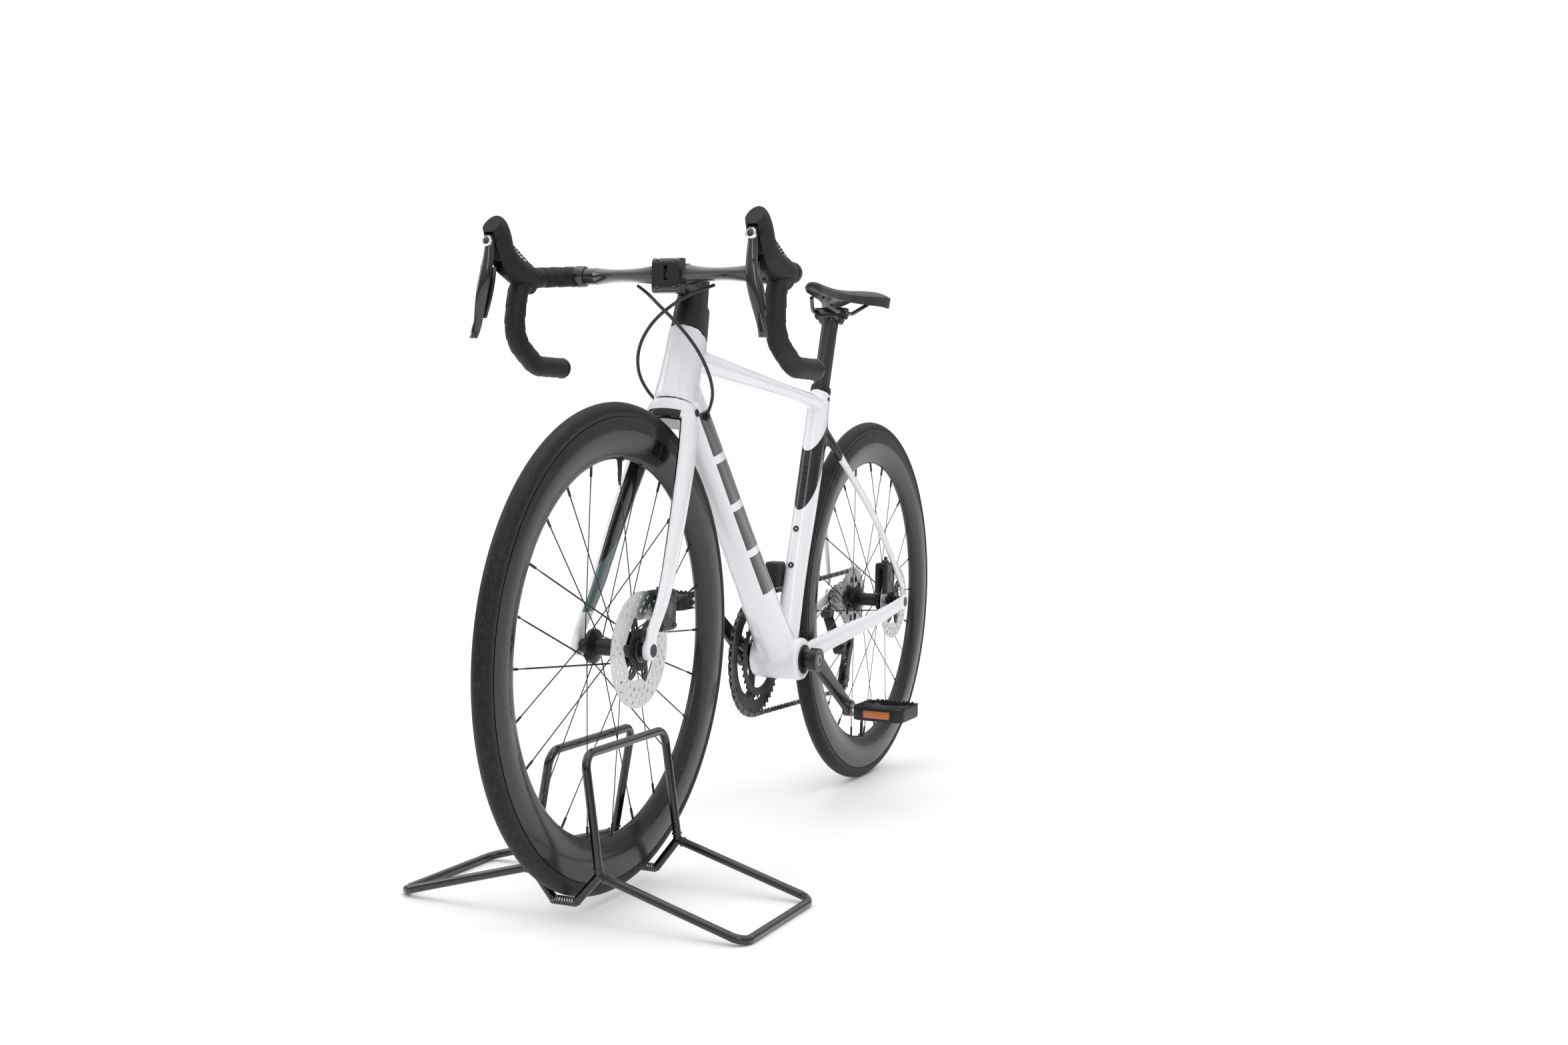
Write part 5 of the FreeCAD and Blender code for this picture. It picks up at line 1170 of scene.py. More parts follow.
class ForkShell:
    """White moulded fork with its crown over the tyre."""

    def blade(self, bm: BMesh, side: int) -> None:
        """Add one blade with its dropout."""
        plane = head_axis(HEAD_BOTTOM) - HEAD_UP * 0.0278
        tip = Vector((FRONT_AXLE.x - 0.006, side * 0.056, FRONT_AXLE.z + 0.024))
        ahead = Vector((0.92, 0, 0.39))
        rings = [outline(Vector((plane.x, side * 0.0315, plane.z)), HEAD_AHEAD, Y_AXIS, 24, 30, 9.2)]
        for share_ahead, share_down, y, nose, tail, half in ((0.147, 0.179, 37.5, 22, 27, 9.5),
                                                             (0.440, 0.490, 47.5, 19, 22, 8.5),
                                                             (0.747, 0.814, 54.0, 15, 17, 7.0)):
            x = plane.x + share_ahead * (tip.x - plane.x)
            z = plane.z + share_down * (tip.z - plane.z)
            rings.append(outline(Vector((x, side * y * MM, z)), ahead, Y_AXIS, nose, tail, half))
        rings.append(outline(tip, ahead, Y_AXIS, 13, 14, 5.7))
        rings.append(outline(Vector((FRONT_AXLE.x, side * 0.05575, FRONT_AXLE.z)), ahead, Y_AXIS, 13.5,
                             13.5, 5.6))
        full = []
        for index in range(len(rings) - 1):
            before, after = rings[max(index - 1, 0)], rings[min(index + 2, len(rings) - 1)]
            for share in (0.0, 0.2, 0.4, 0.6, 0.8):
                full.append([eased(*four, share)
                             for four in zip(before, rings[index], rings[index + 1], after)])
        full.append(rings[-1])
        lofted(bm, full)
        across_pin(bm, FRONT_AXLE, *sorted((side * 50.0, side * 61.5)), 15.0)

    def build(self) -> None:
        """Build the fork, its steerer and its ports."""
        forms = bmesh.new()
        plane = head_axis(HEAD_BOTTOM) - HEAD_UP * 0.0008
        rings = [outline(plane, HEAD_AHEAD, Y_AXIS, 29, 40, 30),
                 outline(plane - HEAD_UP * 0.006, HEAD_AHEAD, Y_AXIS, 28.8, 39.4, 34),
                 outline(plane - HEAD_UP * 0.012, HEAD_AHEAD, Y_AXIS, 28, 38, 37),
                 outline(plane - HEAD_UP * 0.020, HEAD_AHEAD, Y_AXIS, 27.6, 36, 39.4),
                 outline(plane - HEAD_UP * 0.031, HEAD_AHEAD, Y_AXIS, 26, 33, 41)]
        lofted(forms, rings)
        self.blade(forms, 1)
        self.blade(forms, -1)
        arch = bmesh.new()
        across_pin(arch, FRONT_AXLE, -22.5, 22.5, 344.0, 160)
        hub_space = bmesh.new()
        rounded_box(hub_space, FRONT_AXLE + mm(-67, -50, -25), FRONT_AXLE + mm(67, 50, 22), 1 * MM)
        bores = bmesh.new()
        across_pin(bores, FRONT_AXLE, -90, 90, 6.0)
        moulding = Moulding("moulded_fork", "fork", "fork_paint",
                            ("fork_crown", "fork_blade_left", "fork_blade_right"), 2.3 * MM)
        moulding.build(forms, [arch, hub_space, bores])
        bm = bmesh.new()
        turned(bm, [(0.0, -0.003), (0.0190, -0.003), (0.0190, 0.0208), (0.0143, 0.0240), (0.0143, 0.2020),
                    (0.0, 0.2020)],
               plane, HEAD_UP, 40)
        finish_piece("steerer_tube", bm, "satin_carbon", "fork")
        bm = bmesh.new()
        port = FRONT_AXLE + mm(-92, 37, 172)
        turned(bm, [(0.0027, -0.003), (0.0050, -0.002), (0.0056, 0.001), (0.0052, 0.003), (0.0027, 0.003)],
               port, Vector((-0.35, -0.25, -0.9)).normalized(), 24)
        turned(bm, [(0.0, 0.0), (0.0052, 0.0), (0.0058, 0.0010), (0.0050, 0.0016), (0.0, 0.0010)],
               plane + mm(-2, 37.6, -14), Vector((0, 1, 0.12)).normalized(), 24)
        finish_piece("fork_ports", bm, "hood_rubber", "fork")


# ---------------------------------------------------------------- wheels

@dataclass
class Wheel:
    """Deep-rim wheel with its tyre, bladed spokes and brake disc."""

    end: str
    axle: Vector
    left_flange: float
    right_flange: float
    disc_radius: float
    disc_y: float
    valve_turn: float

    @property
    def body(self) -> str:
        """Body that the wheel belongs to."""
        return self.end + "_wheel"

    def polar(self, radius: float, angle: float, y: float = 0.0) -> Vector:
        """Point at a radius and angle about the axle; sizes in millimetres."""
        return self.axle + mm(radius * cos(angle), y, radius * sin(angle))

    def tyre(self) -> None:
        """Build the casing with its bead line and shoulder ridge."""
        outer = []
        for step in range(-22, 23):
            angle = step * 0.0945
            bulge = 13.5 if abs(step) > 12 else 13.5 - 0.35 * sin(abs(step) * pi / 12)
            bulge -= 0.30 if abs(step) == 11 else 0.0
            outer.append((323.5 + bulge * cos(angle), bulge * sin(angle)))
        inner = [(323.5 + 10.8 * cos(step * 0.4), 10.8 * sin(step * 0.4)) for step in range(5, -6, -1)]
        profile = sized(*(outer + inner))
        bm = bmesh.new()
        turned(bm, profile, self.axle, Y_AXIS, 180)
        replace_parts(finish_piece(self.end + "_casing", bm, self.end + "_tread", self.body, 0.7),
                    self.end + "_tyre")

    def rim(self) -> None:
        """Build the deep rim with its hooked edges."""
        half = [(317.0, 13.0), (315.0, 13.3), (312.0, 13.6), (306.0, 14.2), (299.0, 14.5), (291.0, 13.95),
                (284.0, 12.8), (275.0, 10.4), (268.0, 8.2), (263.0, 5.7), (260.2, 3.0), (259.0, 0.0)]
        well = [(309.0, -8.6), (309.0, 8.6), (311.0, 10.0), (314.5, 10.4), (316.4, 11.0)]
        profile = half + [(radius, -y) for radius, y in reversed(half[:-1])]
        profile += [(radius, -y) for radius, y in reversed(well[2:])] + well
        bm = bmesh.new()
        turned(bm, sized(*profile), self.axle, Y_AXIS, 180)
        piece = finish_piece(self.end + "_deep_rim", bm, self.end + "_laminate", self.body, 0.5)
        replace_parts(piece, self.end + "_rim")

    def spokes(self) -> None:
        """Build bladed spokes, with heads at the flanges and nipples at the rim."""
        blades = bmesh.new()
        ends = bmesh.new()
        for side, flange in ((1, self.left_flange), (-1, self.right_flange)):
            for index in range(12):
                rim_angle = TURN * (index + (0.0 if side > 0 else 0.5)) / 12
                lean = 1 if index % 2 else -1
                hub_angle = rim_angle + lean * radians(60)
                start = self.polar(21.0, hub_angle, side * flange + lean * 1.7)
                end = self.polar(258.6, rim_angle, lean * 1.7)
                points = [start.lerp(end, share)
                          for share in (0.0, 0.05, 0.11, 0.16, 0.5, 0.86, 0.90, 0.96, 1.0)]
                flat = [(0.9, 0.9), (0.9, 0.9), (0.9, 0.9), (1.25, 0.5), (1.25, 0.5), (1.25, 0.5),
                        (0.9, 0.9), (0.9, 0.9), (0.9, 0.9)]
                sizes = sized(*flat)
                around = self.polar(1, rim_angle + pi / 2) - self.axle
                sweep(blades, path_places(points, sizes, around.normalized()), 8)
                away = (end - start).normalized()
                pin(ends, end - away * 0.015, end + away * 0.001, 1.9 * MM, 6, 0.3 * MM)
                pin(ends, start - away * 0.003, start + away * 0.004, 1.7 * MM, 10, 0.5 * MM)
        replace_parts(finish_piece(self.end + "_bladed_spokes", blades, "spoke_black",
                                 self.body),
                    self.end + "_spokes")
        finish_piece(self.end + "_nipples", ends, "black_alloy", self.body)

    def disc(self) -> None:
        """Build the brake disc's vented band, its finned carrier and its lockring."""
        plane = Vector((self.axle.x, self.disc_y * MM, self.axle.z))
        size = self.disc_radius
        outer = [((size - 0.8 * (step % 8 == 0)) * MM * cos(TURN * step / 192),
                  (size - 0.8 * (step % 8 == 0)) * MM * sin(TURN * step / 192)) for step in range(192)]
        inner = []
        for step in range(144):
            angle = TURN * step / 144
            reach = (42.5 + 1.6 * cos(6 * angle)) * MM
            inner.append(round_at(reach, angle))
        loops = [outer, inner]
        for index in range(24):
            for row in range(2 if size < 75 else 3):
                angle = TURN * (index + 0.5 * (row % 2)) / 24
                reach = size - 7.0 - 9.5 * row
                slant = angle + 0.7
                slot = []
                for corner in range(12):
                    turn = TURN * corner / 12
                    along = copysign(2.1, cos(slant + turn - angle - 0.7)) + 1.5 * cos(turn)
                    over = 1.5 * sin(turn)
                    slot.append(((reach * cos(angle) + along * cos(slant) - over * sin(slant)) * MM,
                                 (reach * sin(angle) + along * sin(slant) + over * cos(slant)) * MM))
                loops.append(slot)
        bm = bmesh.new()
        plate(bm, loops, 1.8 * MM, plane)
        piece = finish_piece(self.end + "_disc_band", bm, "disc_steel", self.body, 0.5)
        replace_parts(piece, self.end + "_rotor")
        star = []
        for step in range(180):
            angle = TURN * step / 180
            arm = max(0.0, cos(6 * angle)) ** 0.7
            reach = (29.0 + 19.0 * arm) * MM
            swing = angle + 0.16 * arm
            star.append((reach * cos(swing), reach * sin(swing)))
        loops = [star, circle_loop(16.2 * MM, 48)]
        for index in range(6):
            angle = TURN * (index + 0.13) / 6
            loops.append(circle_loop(3.4 * MM, 12, (34 * MM * cos(angle), 34 * MM * sin(angle))))
        bm = bmesh.new()
        plate(bm, loops, 2.6 * MM, plane)
        for index in range(30):
            angle = TURN * index / 30
            fin = Matrix.Rotation(-angle, 3, "Y")
            middle = plane + fin @ mm(22.5, 0, 0)
            rounded_box(bm, middle - mm(5.5, 2.0, 0.7), middle + mm(5.5, 2.0, 0.7), 0.3 * MM, 1, fin)
        finish_piece(self.end + "_disc_carrier", bm, "black_alloy", self.body, 0.5)
        bm = bmesh.new()
        ridged = [(9.7, 1.0), (15.5, 1.0), (17.5, 1.6), (17.5, 3.2), (15.0, 4.6), (11.0, 4.8), (9.7, 4.8)]
        turned(bm, sized(*ridged), plane, Y_AXIS, 48)
        for index in range(16):
            angle = TURN * index / 16
            fin = Matrix.Rotation(-angle, 3, "Y")
            middle = plane + fin @ mm(17.0, 2.4, 0)
            rounded_box(bm, middle - mm(1.2, 0.9, 0.9), middle + mm(1.2, 0.9, 0.9), 0.3 * MM, 1, fin)
        finish_piece(self.end + "_disc_lockring", bm, "black_gloss", self.body)

    def valve(self) -> None:
        """Build the valve stem with its ring."""
        bm = bmesh.new()
        out = self.polar(1, self.valve_turn) - self.axle
        inward = -out.normalized()
        start = self.polar(259.5, self.valve_turn)
        turned(bm, [(0, 0), (0.0058, 0), (0.0062, 0.0012), (0.0030, 0.0034), (0.0029, 0.024),
                    (0.0024, 0.025), (0.0024, 0.031),
                    (0.0013, 0.032), (0.0013, 0.036), (0.0, 0.0365)], start, inward, 20)
        finish_piece(self.end + "_valve", bm, "black_alloy", self.body)

    def build(self) -> None:
        """Build the whole wheel."""
        self.tyre()
        self.rim()
        self.spokes()
        self.disc()
        self.valve()
        dress("black_alloy", self.end + "_hub")


# ---------------------------------------------------------------- drivetrain

CHAIN_PITCH = 12.7


def pitch_radius(teeth: int) -> float:
    """Radius of a sprocket's pitch circle, in millimetres."""
    return CHAIN_PITCH / (2 * sin(pi / teeth))


def toothed(teeth: int, seat_angle: float) -> list[tuple[float, float]]:
    """Outline of a sprocket with one roller seat at an angle.

    Args:
        teeth: Number of teeth.
        seat_angle: Angle of a seat's middle, in radians.

    Returns:
        Corners as (x, z) in metres.
    """
    radius = pitch_radius(teeth)
    corners = []
    for index in range(teeth):
        for share, rise in ((-0.15, -3.2), (0.0, -3.7), (0.15, -3.2), (0.27, -1.0), (0.38, 1.5),
                            (0.46, 2.3), (0.54, 2.3), (0.62, 1.5), (0.73, -1.0)):
            angle = seat_angle + TURN * (index + share) / teeth
            reach = (radius + rise) * MM
            corners.append(round_at(reach, angle))
    return corners


@dataclass
class ChainWheel:
    """A wheel that the chain passes: centre, signed tooth count and plane."""

    centre: Vector
    teeth: int
    turn: int
    y: float
    seat: float = 0.0

    @property
    def radius(self) -> float:
        """Signed pitch radius in metres; negative where the chain passes clockwise."""
        return self.turn * pitch_radius(self.teeth) * MM


class Drivetrain:
    """Chain, rings, cogs, pulleys, cranks and the gears' fittings."""

    cogs = (30, 27, 24, 21, 19, 17, 15, 14, 13, 12, 11)

    def __init__(self) -> None:
        """Set out the wheels that the chain passes."""
        back = -30.74 * MM
        self.wheels = [
            ChainWheel(BOTTOM_BRACKET, 50, 1, -45 * MM), ChainWheel(REAR_AXLE, 27, 1, back),
            ChainWheel(REAR_AXLE + mm(9, 0, -87), 11, -1, back),
            ChainWheel(REAR_AXLE + mm(31, 0, -148), 11, 1, back),
        ]

    def tangent(self, first: ChainWheel, second: ChainWheel) -> tuple[Vector, Vector]:
        """Points where the chain leaves one wheel and meets the next."""
        gap = second.centre - first.centre
        turn = atan2(gap.z, gap.x) - asin((second.radius - first.radius) / hypot(gap.x, gap.z))
        left = Vector((-sin(turn), 0, cos(turn)))
        leave = mid_plane(first.centre) - left * first.radius
        arrive = mid_plane(second.centre) - left * second.radius
        return leave, arrive

    def rollers(self) -> list[Vector]:
        """Centres of the chain's rollers, one pitch apart, seated in the wheels' teeth."""
        count = len(self.wheels)
        spans = [self.tangent(wheel, self.wheels[(index + 1) % count])
                 for index, wheel in enumerate(self.wheels)]
        arcs = []
        for index, wheel in enumerate(self.wheels):
            enter = spans[index - 1][1] - wheel.centre
            leave = spans[index][0] - wheel.centre
            first = atan2(enter.z, enter.x)
            swept = (atan2(leave.z, leave.x) - first) * wheel.turn % TURN
            arcs.append((first, swept, swept * wheel.teeth / TURN))
        runs = [(arrive - leave).length / (CHAIN_PITCH * MM) for leave, arrive in spans]
        links = 2 * round((sum(runs) + sum(arc[2] for arc in arcs)) / 2)
        stretch = (links - sum(arc[2] for arc in arcs)) / sum(runs)
        places = []
        done = 0.0
        for index, wheel in enumerate(self.wheels):
            first, swept, pitches = arcs[index]
            wheel.seat = first - wheel.turn * done * TURN / wheel.teeth
            for number in range(ceil(done), ceil(done + pitches)):
                angle = first + wheel.turn * (number - done) * TURN / wheel.teeth
                reach = abs(wheel.radius)
                places.append(Vector((wheel.centre.x + reach * cos(angle), wheel.y,
                                      wheel.centre.z + reach * sin(angle))))
            done += pitches
            leave, arrive = spans[index]
            following = self.wheels[(index + 1) % count]
            run = runs[index] * stretch
            length = (arrive - leave).length
            lead = 0.042
            for number in range(ceil(done), ceil(done + run)):
                share = (number - done) / run
                slide = 0.0
                if wheel.y != following.y:
                    slide = min(1.0, max(0.0, (share * length - lead) / (length - 2 * lead)))
                point = leave.lerp(arrive, share)
                point.y = wheel.y + (following.y - wheel.y) * slide
                places.append(point)
            done += run
        return places[:links]

    def link_plates(self, gap: float, thickness: float) -> Mesh:
        """Template of a link: two waisted plates.

        Args:
            gap: Distance from the middle to a plate's middle, in millimetres.
            thickness: A plate's thickness, in millimetres.

        Returns:
            The template mesh.
        """
        half = CHAIN_PITCH / 2
        corners = []
        for end in (1, -1):
            for step in range(-4, 5):
                angle = step * 0.45 + (0.0 if end > 0 else pi)
                corners.append(((end * half + 4.0 * cos(angle)) * MM, 4.0 * sin(angle) * MM))
            corners.append((0.0, end * 2.7 * MM))
        bm = bmesh.new()
        for side in (1, -1):
            plate(bm, [corners], thickness * MM, mm(0, side * gap, 0))
        mesh = bpy.data.meshes.new("link_template")
        bm.to_mesh(mesh)
        bm.free()
        return mesh

    def chain(self) -> None:
        """Build the chain of alternating inner and outer links with rollers and pins."""
        places = self.rollers()
        inner = self.link_plates(1.75, 0.8)
        outer = self.link_plates(2.65, 0.85)
        bm = bmesh.new()
        for index, start in enumerate(places):
            end = places[(index + 1) % len(places)]
            along = (end - start).normalized()
            side = (Y_AXIS - along * along.y).normalized()
            up = along.cross(side)
            place = Matrix.Translation((start + end) / 2) @ Matrix((along, side, up)).transposed().to_4x4()
            stamp(bm, outer if index % 2 else inner, place)
            turned(bm, sized((0, -3.3), (1.7, -3.3), (1.7, -1.3), (3.7, -1.3), (3.7, 1.3), (1.7, 1.3),
                             (1.7, 3.3), (0, 3.3)), start, Y_AXIS, 10)
        bpy.data.meshes.remove(inner)
        bpy.data.meshes.remove(outer)
        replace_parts(finish_piece("roller_chain", bm, "chain_steel", "frame", 0.6), "chain")

    def rings(self) -> None:
        """Build both chainrings with their ramps and the ring bolts."""
        big = self.wheels[0]
        bm = bmesh.new()
        inside = []
        for step in range(160):
            angle = TURN * step / 160
            lobe = max(0.0, cos(4 * (angle - radians(28)))) ** 3
            reach = (76.0 - 4.0 * lobe) * MM
            inside.append(round_at(reach, angle))
        plate(bm, [toothed(50, big.seat), inside], 1.8 * MM, big.centre + mm(0, -45, 0))
        plate(bm, [toothed(34, 0.05), circle_loop(54.0 * MM, 96)], 1.8 * MM, big.centre + mm(0, -38.4, 0))
        for index in range(8):
            angle = TURN * index / 8 + 0.2
            seat = big.centre + mm(92 * cos(angle), -43.9, 92 * sin(angle))
            across_pin(bm, seat, -44.2, -43.0, 2.2, 12)
        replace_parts(finish_piece("toothed_rings", bm, "black_alloy", "crankset", 0.5), "chainrings")
        bm = bmesh.new()
        shield = [(78.0, -46.2), (90.0, -46.2), (94.5, -46.6), (94.5, -47.4), (90.0, -48.4), (80.0, -48.8),
                  (78.0, -48.2)]
        turned(bm, sized(*shield), mid_plane(big.centre), Y_AXIS, 120)
        finish_piece("ring_face", bm, "crank_coating", "crankset")

    def crank_trim(self) -> None:
        """Build the ring bolts, the spindle cap and the pinch bolts."""
        bm = bmesh.new()
        centre = BOTTOM_BRACKET
        for degrees in (28.0, 98.0, 208.0, 278.0):
            angle = radians(degrees)
            bolt = centre + mm(66 * cos(angle), 0, 66 * sin(angle))
            turned(bm, [(0.0, -0.0540), (0.0024, -0.0540), (0.0028, -0.0562), (0.0052, -0.0562),
                        (0.0056, -0.0552), (0.0056, -0.0515),
                        (0.0, -0.0515)], mid_plane(bolt), Y_AXIS, 20)
        cap = Vector((centre.x, 0.0705, centre.z))
        turned(bm, [(0.0, -0.0005), (0.0040, -0.0005), (0.0052, 0.0012), (0.0105, 0.0016), (0.0112, 0.0004),
                    (0.0112, -0.002), (0.0, -0.002)], cap, Y_AXIS, 32)
        along = Vector((-cos(radians(35.5)), 0, -sin(radians(35.5))))
        for reach in (12.0, 26.0):
            middle = centre + along * (reach * MM) + mm(0, 62.5, 0)
            pin(bm, middle + Vector((along.z, 0, -along.x)) * 0.0175,
                middle + Vector((along.z, 0, -along.x)) * 0.0205, 3.2 * MM, 20)
        finish_piece("crank_bolts", bm, "black_gloss", "crankset")
        dress("crank_coating", "crank_left", "crank_right")
        dress("bright_steel", "pedal_axles")

    def cassette(self) -> None:
        """Build the eleven cogs, their carrier and the lockring."""
        bm = bmesh.new()
        for index, teeth in enumerate(self.cogs):
            y = -(27.0 + 3.74 * index)
            seat = self.wheels[1].seat if index == 1 else 0.11 * index
            loops = [toothed(teeth, seat), circle_loop(17.2 * MM, 40)]
            reach = (pitch_radius(teeth) - 4.0 + 19.0) / 2
            hole = (pitch_radius(teeth) - 8.5 - 20.0) / 2
            if hole > 2.0:
                for number in range(10):
                    angle = TURN * number / 10 + 0.05 * index
                    loops.append(circle_loop(min(hole, 6.5) * MM, 12,
                                             round_at(reach * MM, angle)))
            plate(bm, loops, 1.5 * MM, REAR_AXLE + mm(0, y, 0))
        piece = finish_piece("toothed_cogs", bm, "cog_steel", "cassette", 0.5)
        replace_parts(piece, "cassette")
        bm = bmesh.new()
        body = [(6.1, -22.7), (17.0, -22.7), (17.0, -66.0), (19.0, -66.6), (19.5, -68.6), (17.5, -69.0),
                (14.0, -69.0), (13.0, -68.0), (12.6, -70.7), (6.1, -70.7)]
        turned(bm, sized(*body), mid_plane(REAR_AXLE), Y_AXIS, 48)
        finish_piece("freehub_body", bm, "black_alloy", "cassette")

    def pulleys(self) -> None:
        """Build both jockey wheels with their bushes."""
        for wheel, name in ((self.wheels[2], "upper"), (self.wheels[3], "lower")):
            bm = bmesh.new()
            loops = [toothed(11, wheel.seat), circle_loop(3.2 * MM, 20)]
            for number in range(6):
                angle = TURN * number / 6
                loops.append(circle_loop(2.0 * MM, 10, (11.5 * MM * cos(angle), 11.5 * MM * sin(angle))))
            plate(bm, loops, 2.0 * MM, Vector((wheel.centre.x, wheel.y, wheel.centre.z)))
            turned(bm, sized((3.15, -2.4), (7.2, -2.4), (7.6, -1.0), (7.6, 1.0), (7.2, 2.4), (3.15, 2.4)),
                   Vector((wheel.centre.x, wheel.y, wheel.centre.z)), Y_AXIS, 28)
            piece = finish_piece("pulley_" + name, bm, "resin", "jockey_" + name, 0.5)
            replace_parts(piece, "jockey_wheel_" + name)

    def derailleurs(self) -> None:
        """Dress the derailleurs and build their bolts, pins and cage edges."""
        dress("black_alloy", "rear_derailleur", "front_derailleur")
        bm = bmesh.new()
        for wheel in self.wheels[2:]:
            for side in (1, -1):
                near = Vector((wheel.centre.x, wheel.y + side * 7.0 * MM, wheel.centre.z))
                turned(bm, [(0, 0), (0.0050, 0), (0.0050, 0.0006), (0.0042, 0.0014), (0.0022, 0.0014),
                            (0.0018, 0.0004), (0, 0.0004)],
                       near, Y_AXIS * side, 20)
        hanger = REAR_AXLE + mm(-6, 0, -31)
        turned(bm, [(0, -0.0912), (0.0030, -0.0912), (0.0034, -0.0930), (0.0070, -0.0930),
                    (0.0080, -0.0918), (0.0080, -0.0900),
                    (0, -0.0900)], mid_plane(hanger), Y_AXIS, 28)
        knuckle = self.wheels[2].centre + mm(4, 0, -6)
        turned(bm, [(0, -0.0540), (0.0060, -0.0546), (0.0110, -0.0560), (0.0135, -0.0550),
                    (0.0140, -0.0535), (0, -0.0535)],
               mid_plane(knuckle), Y_AXIS, 32)
        finish_piece("gear_bolts", bm, "grey_alloy", "frame")
        bm = bmesh.new()
        top = BOTTOM_BRACKET + mm(-26, 0, pitch_radius(50))
        for x in (-14.0, 2.0):
            pin(bm, top + mm(x, -41, 34), top + mm(x, -39, 34), 3.2 * MM, 18)
        pin(bm, top + mm(-30, -52.6, 12), top + mm(-30, -50.8, 12), 2.6 * MM, 18)
        rounded_box(bm, top + mm(-18, -44.5, 22), top + mm(6, -40.2, 50), 2.0 * MM, 3)
        finish_piece("front_gear_cover", bm, "black_gloss", "frame")
        bm = bmesh.new()
        pin(bm, top + mm(6, -36.5, 40), top + mm(6, -31.0, 40), 3.6 * MM, 6, 0.6 * MM)
        pin(bm, top + mm(8.4, -42.0, 46), top + mm(12.0, -42.0, 46), 2.8 * MM, 16, 0.5 * MM)
        pin(bm, top + mm(8.4, -42.0, 30), top + mm(11.0, -42.0, 30), 2.2 * MM, 16, 0.5 * MM)
        finish_piece("front_gear_screws", bm, "bright_steel", "frame")

    def brackets(self) -> None:
        """Build the outer bearing cups of the bottom bracket."""
        bm = bmesh.new()
        for side in (1, -1):
            cup = [(12.2, 34.0), (20.4, 34.0), (20.4, 43.0), (24.5, 43.2), (24.5, 45.4), (21.0, 47.0),
                   (13.0, 47.2), (12.2, 46.6)]
            turned(bm, [(radius * MM, side * y * MM) for radius, y in cup],
                   mid_plane(BOTTOM_BRACKET), Y_AXIS, 48)
        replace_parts(finish_piece("bearing_cups", bm, "black_alloy", "frame"), "bb_bearings")

    def build(self) -> None:
        """Build the whole drivetrain."""
        self.chain()
        self.rings()
        self.crank_trim()
        self.cassette()
        self.pulleys()
        self.derailleurs()
        self.brackets()


@dataclass
class Pedal:
    """Platform pedal: a cage with ribs, a centre barrel and two amber reflectors."""

    side: str
    sign: int

    def build(self) -> None:
        """Build the pedal."""
        body = "pedal_" + self.side
        centre = joint_place(body + "_spin")
        middle = Vector((centre.x, self.sign * 0.142, centre.z))
        bm = bmesh.new()
        path = rounded_path([middle + mm(x, y, 0)
                             for x, y in ((0, -42), (46, -42), (46, 42), (-46, 42), (-46, -42), (0, -42))],
                            [12 * MM] * 4, 4 * MM)[:-1]
        rings = []
        count = len(path)
        for index, point in enumerate(path):
            ahead = (path[(index + 1) % count] - path[index - 1]).normalized()
            out = ahead.cross(Z_AXIS)
            rings.append([bm.verts.new(point + out * (wide * MM) + Z_AXIS * (high * MM)) for wide, high in
                          ((3.6, -9.0), (4.0, -5.0), (3.6, 9.0), (3.0, 11.0), (-1.5, 11.0), (-2.2, 9.0),
                           (-2.2, -9.0), (-1.5, -11.0), (3.0, -11.0))])
        for index, ring in enumerate(rings):
            following = rings[(index + 1) % count]
            for corner in range(len(ring)):
                after = (corner + 1) % len(ring)
                bm.faces.new((ring[corner], ring[after], following[after], following[corner]))
        for x in (-40, -26, 26, 40):
            for y in (-22, 0, 22):
                pin(bm, middle + mm(copysign(45.5, x), y, 10.5), middle + mm(copysign(45.5, x), y, 13.0),
                    1.6 * MM, 8)
        for y in (-28.0, 28.0):
            rounded_box(bm, middle + mm(-46, y - 3.0, -8.0), middle + mm(46, y + 3.0, 8.0), 2.0 * MM, 2)
        for x in (-47.0, 47.0):
            for index in range(9):
                low = middle + mm(x - 1.8, -34 + 8 * index, 10.4)
                rounded_box(bm, low, low + mm(3.6, 3.6, 2.6), 0.6 * MM, 1)
        for x in range(-36, 37, 12):
            for y in (-44.0, 44.0):
                low = middle + mm(x - 1.8, y - 1.8, 10.4)
                rounded_box(bm, low, low + mm(3.6, 3.6, 2.6), 0.6 * MM, 1)
        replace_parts(finish_piece(body + "_cage", bm, "resin", body, 0.5), body)
        bm = bmesh.new()
        barrel = [(6.1, -44.0), (9.0, -44.0), (11.5, -40.0), (11.5, -12.0), (10.0, -8.0), (10.0, 20.0),
                  (11.5, 26.0), (11.5, 38.0), (9.5, 44.0), (6.1, 44.0)]
        turned(bm, [(radius * MM, y * self.sign * MM) for radius, y in barrel], middle, Y_AXIS, 36)
        finish_piece(body + "_barrel", bm, "black_alloy", body)
        bm = bmesh.new()
        for x in (-1, 1):
            low = middle + mm(x * 47.6 - 2.6, -24, -6.5)
            rounded_box(bm, low, low + mm(5.2, 48, 13), 1.2 * MM, 2)
        finish_piece(body + "_reflectors", bm, "reflector_amber", body)


# ---------------------------------------------------------------- brakes

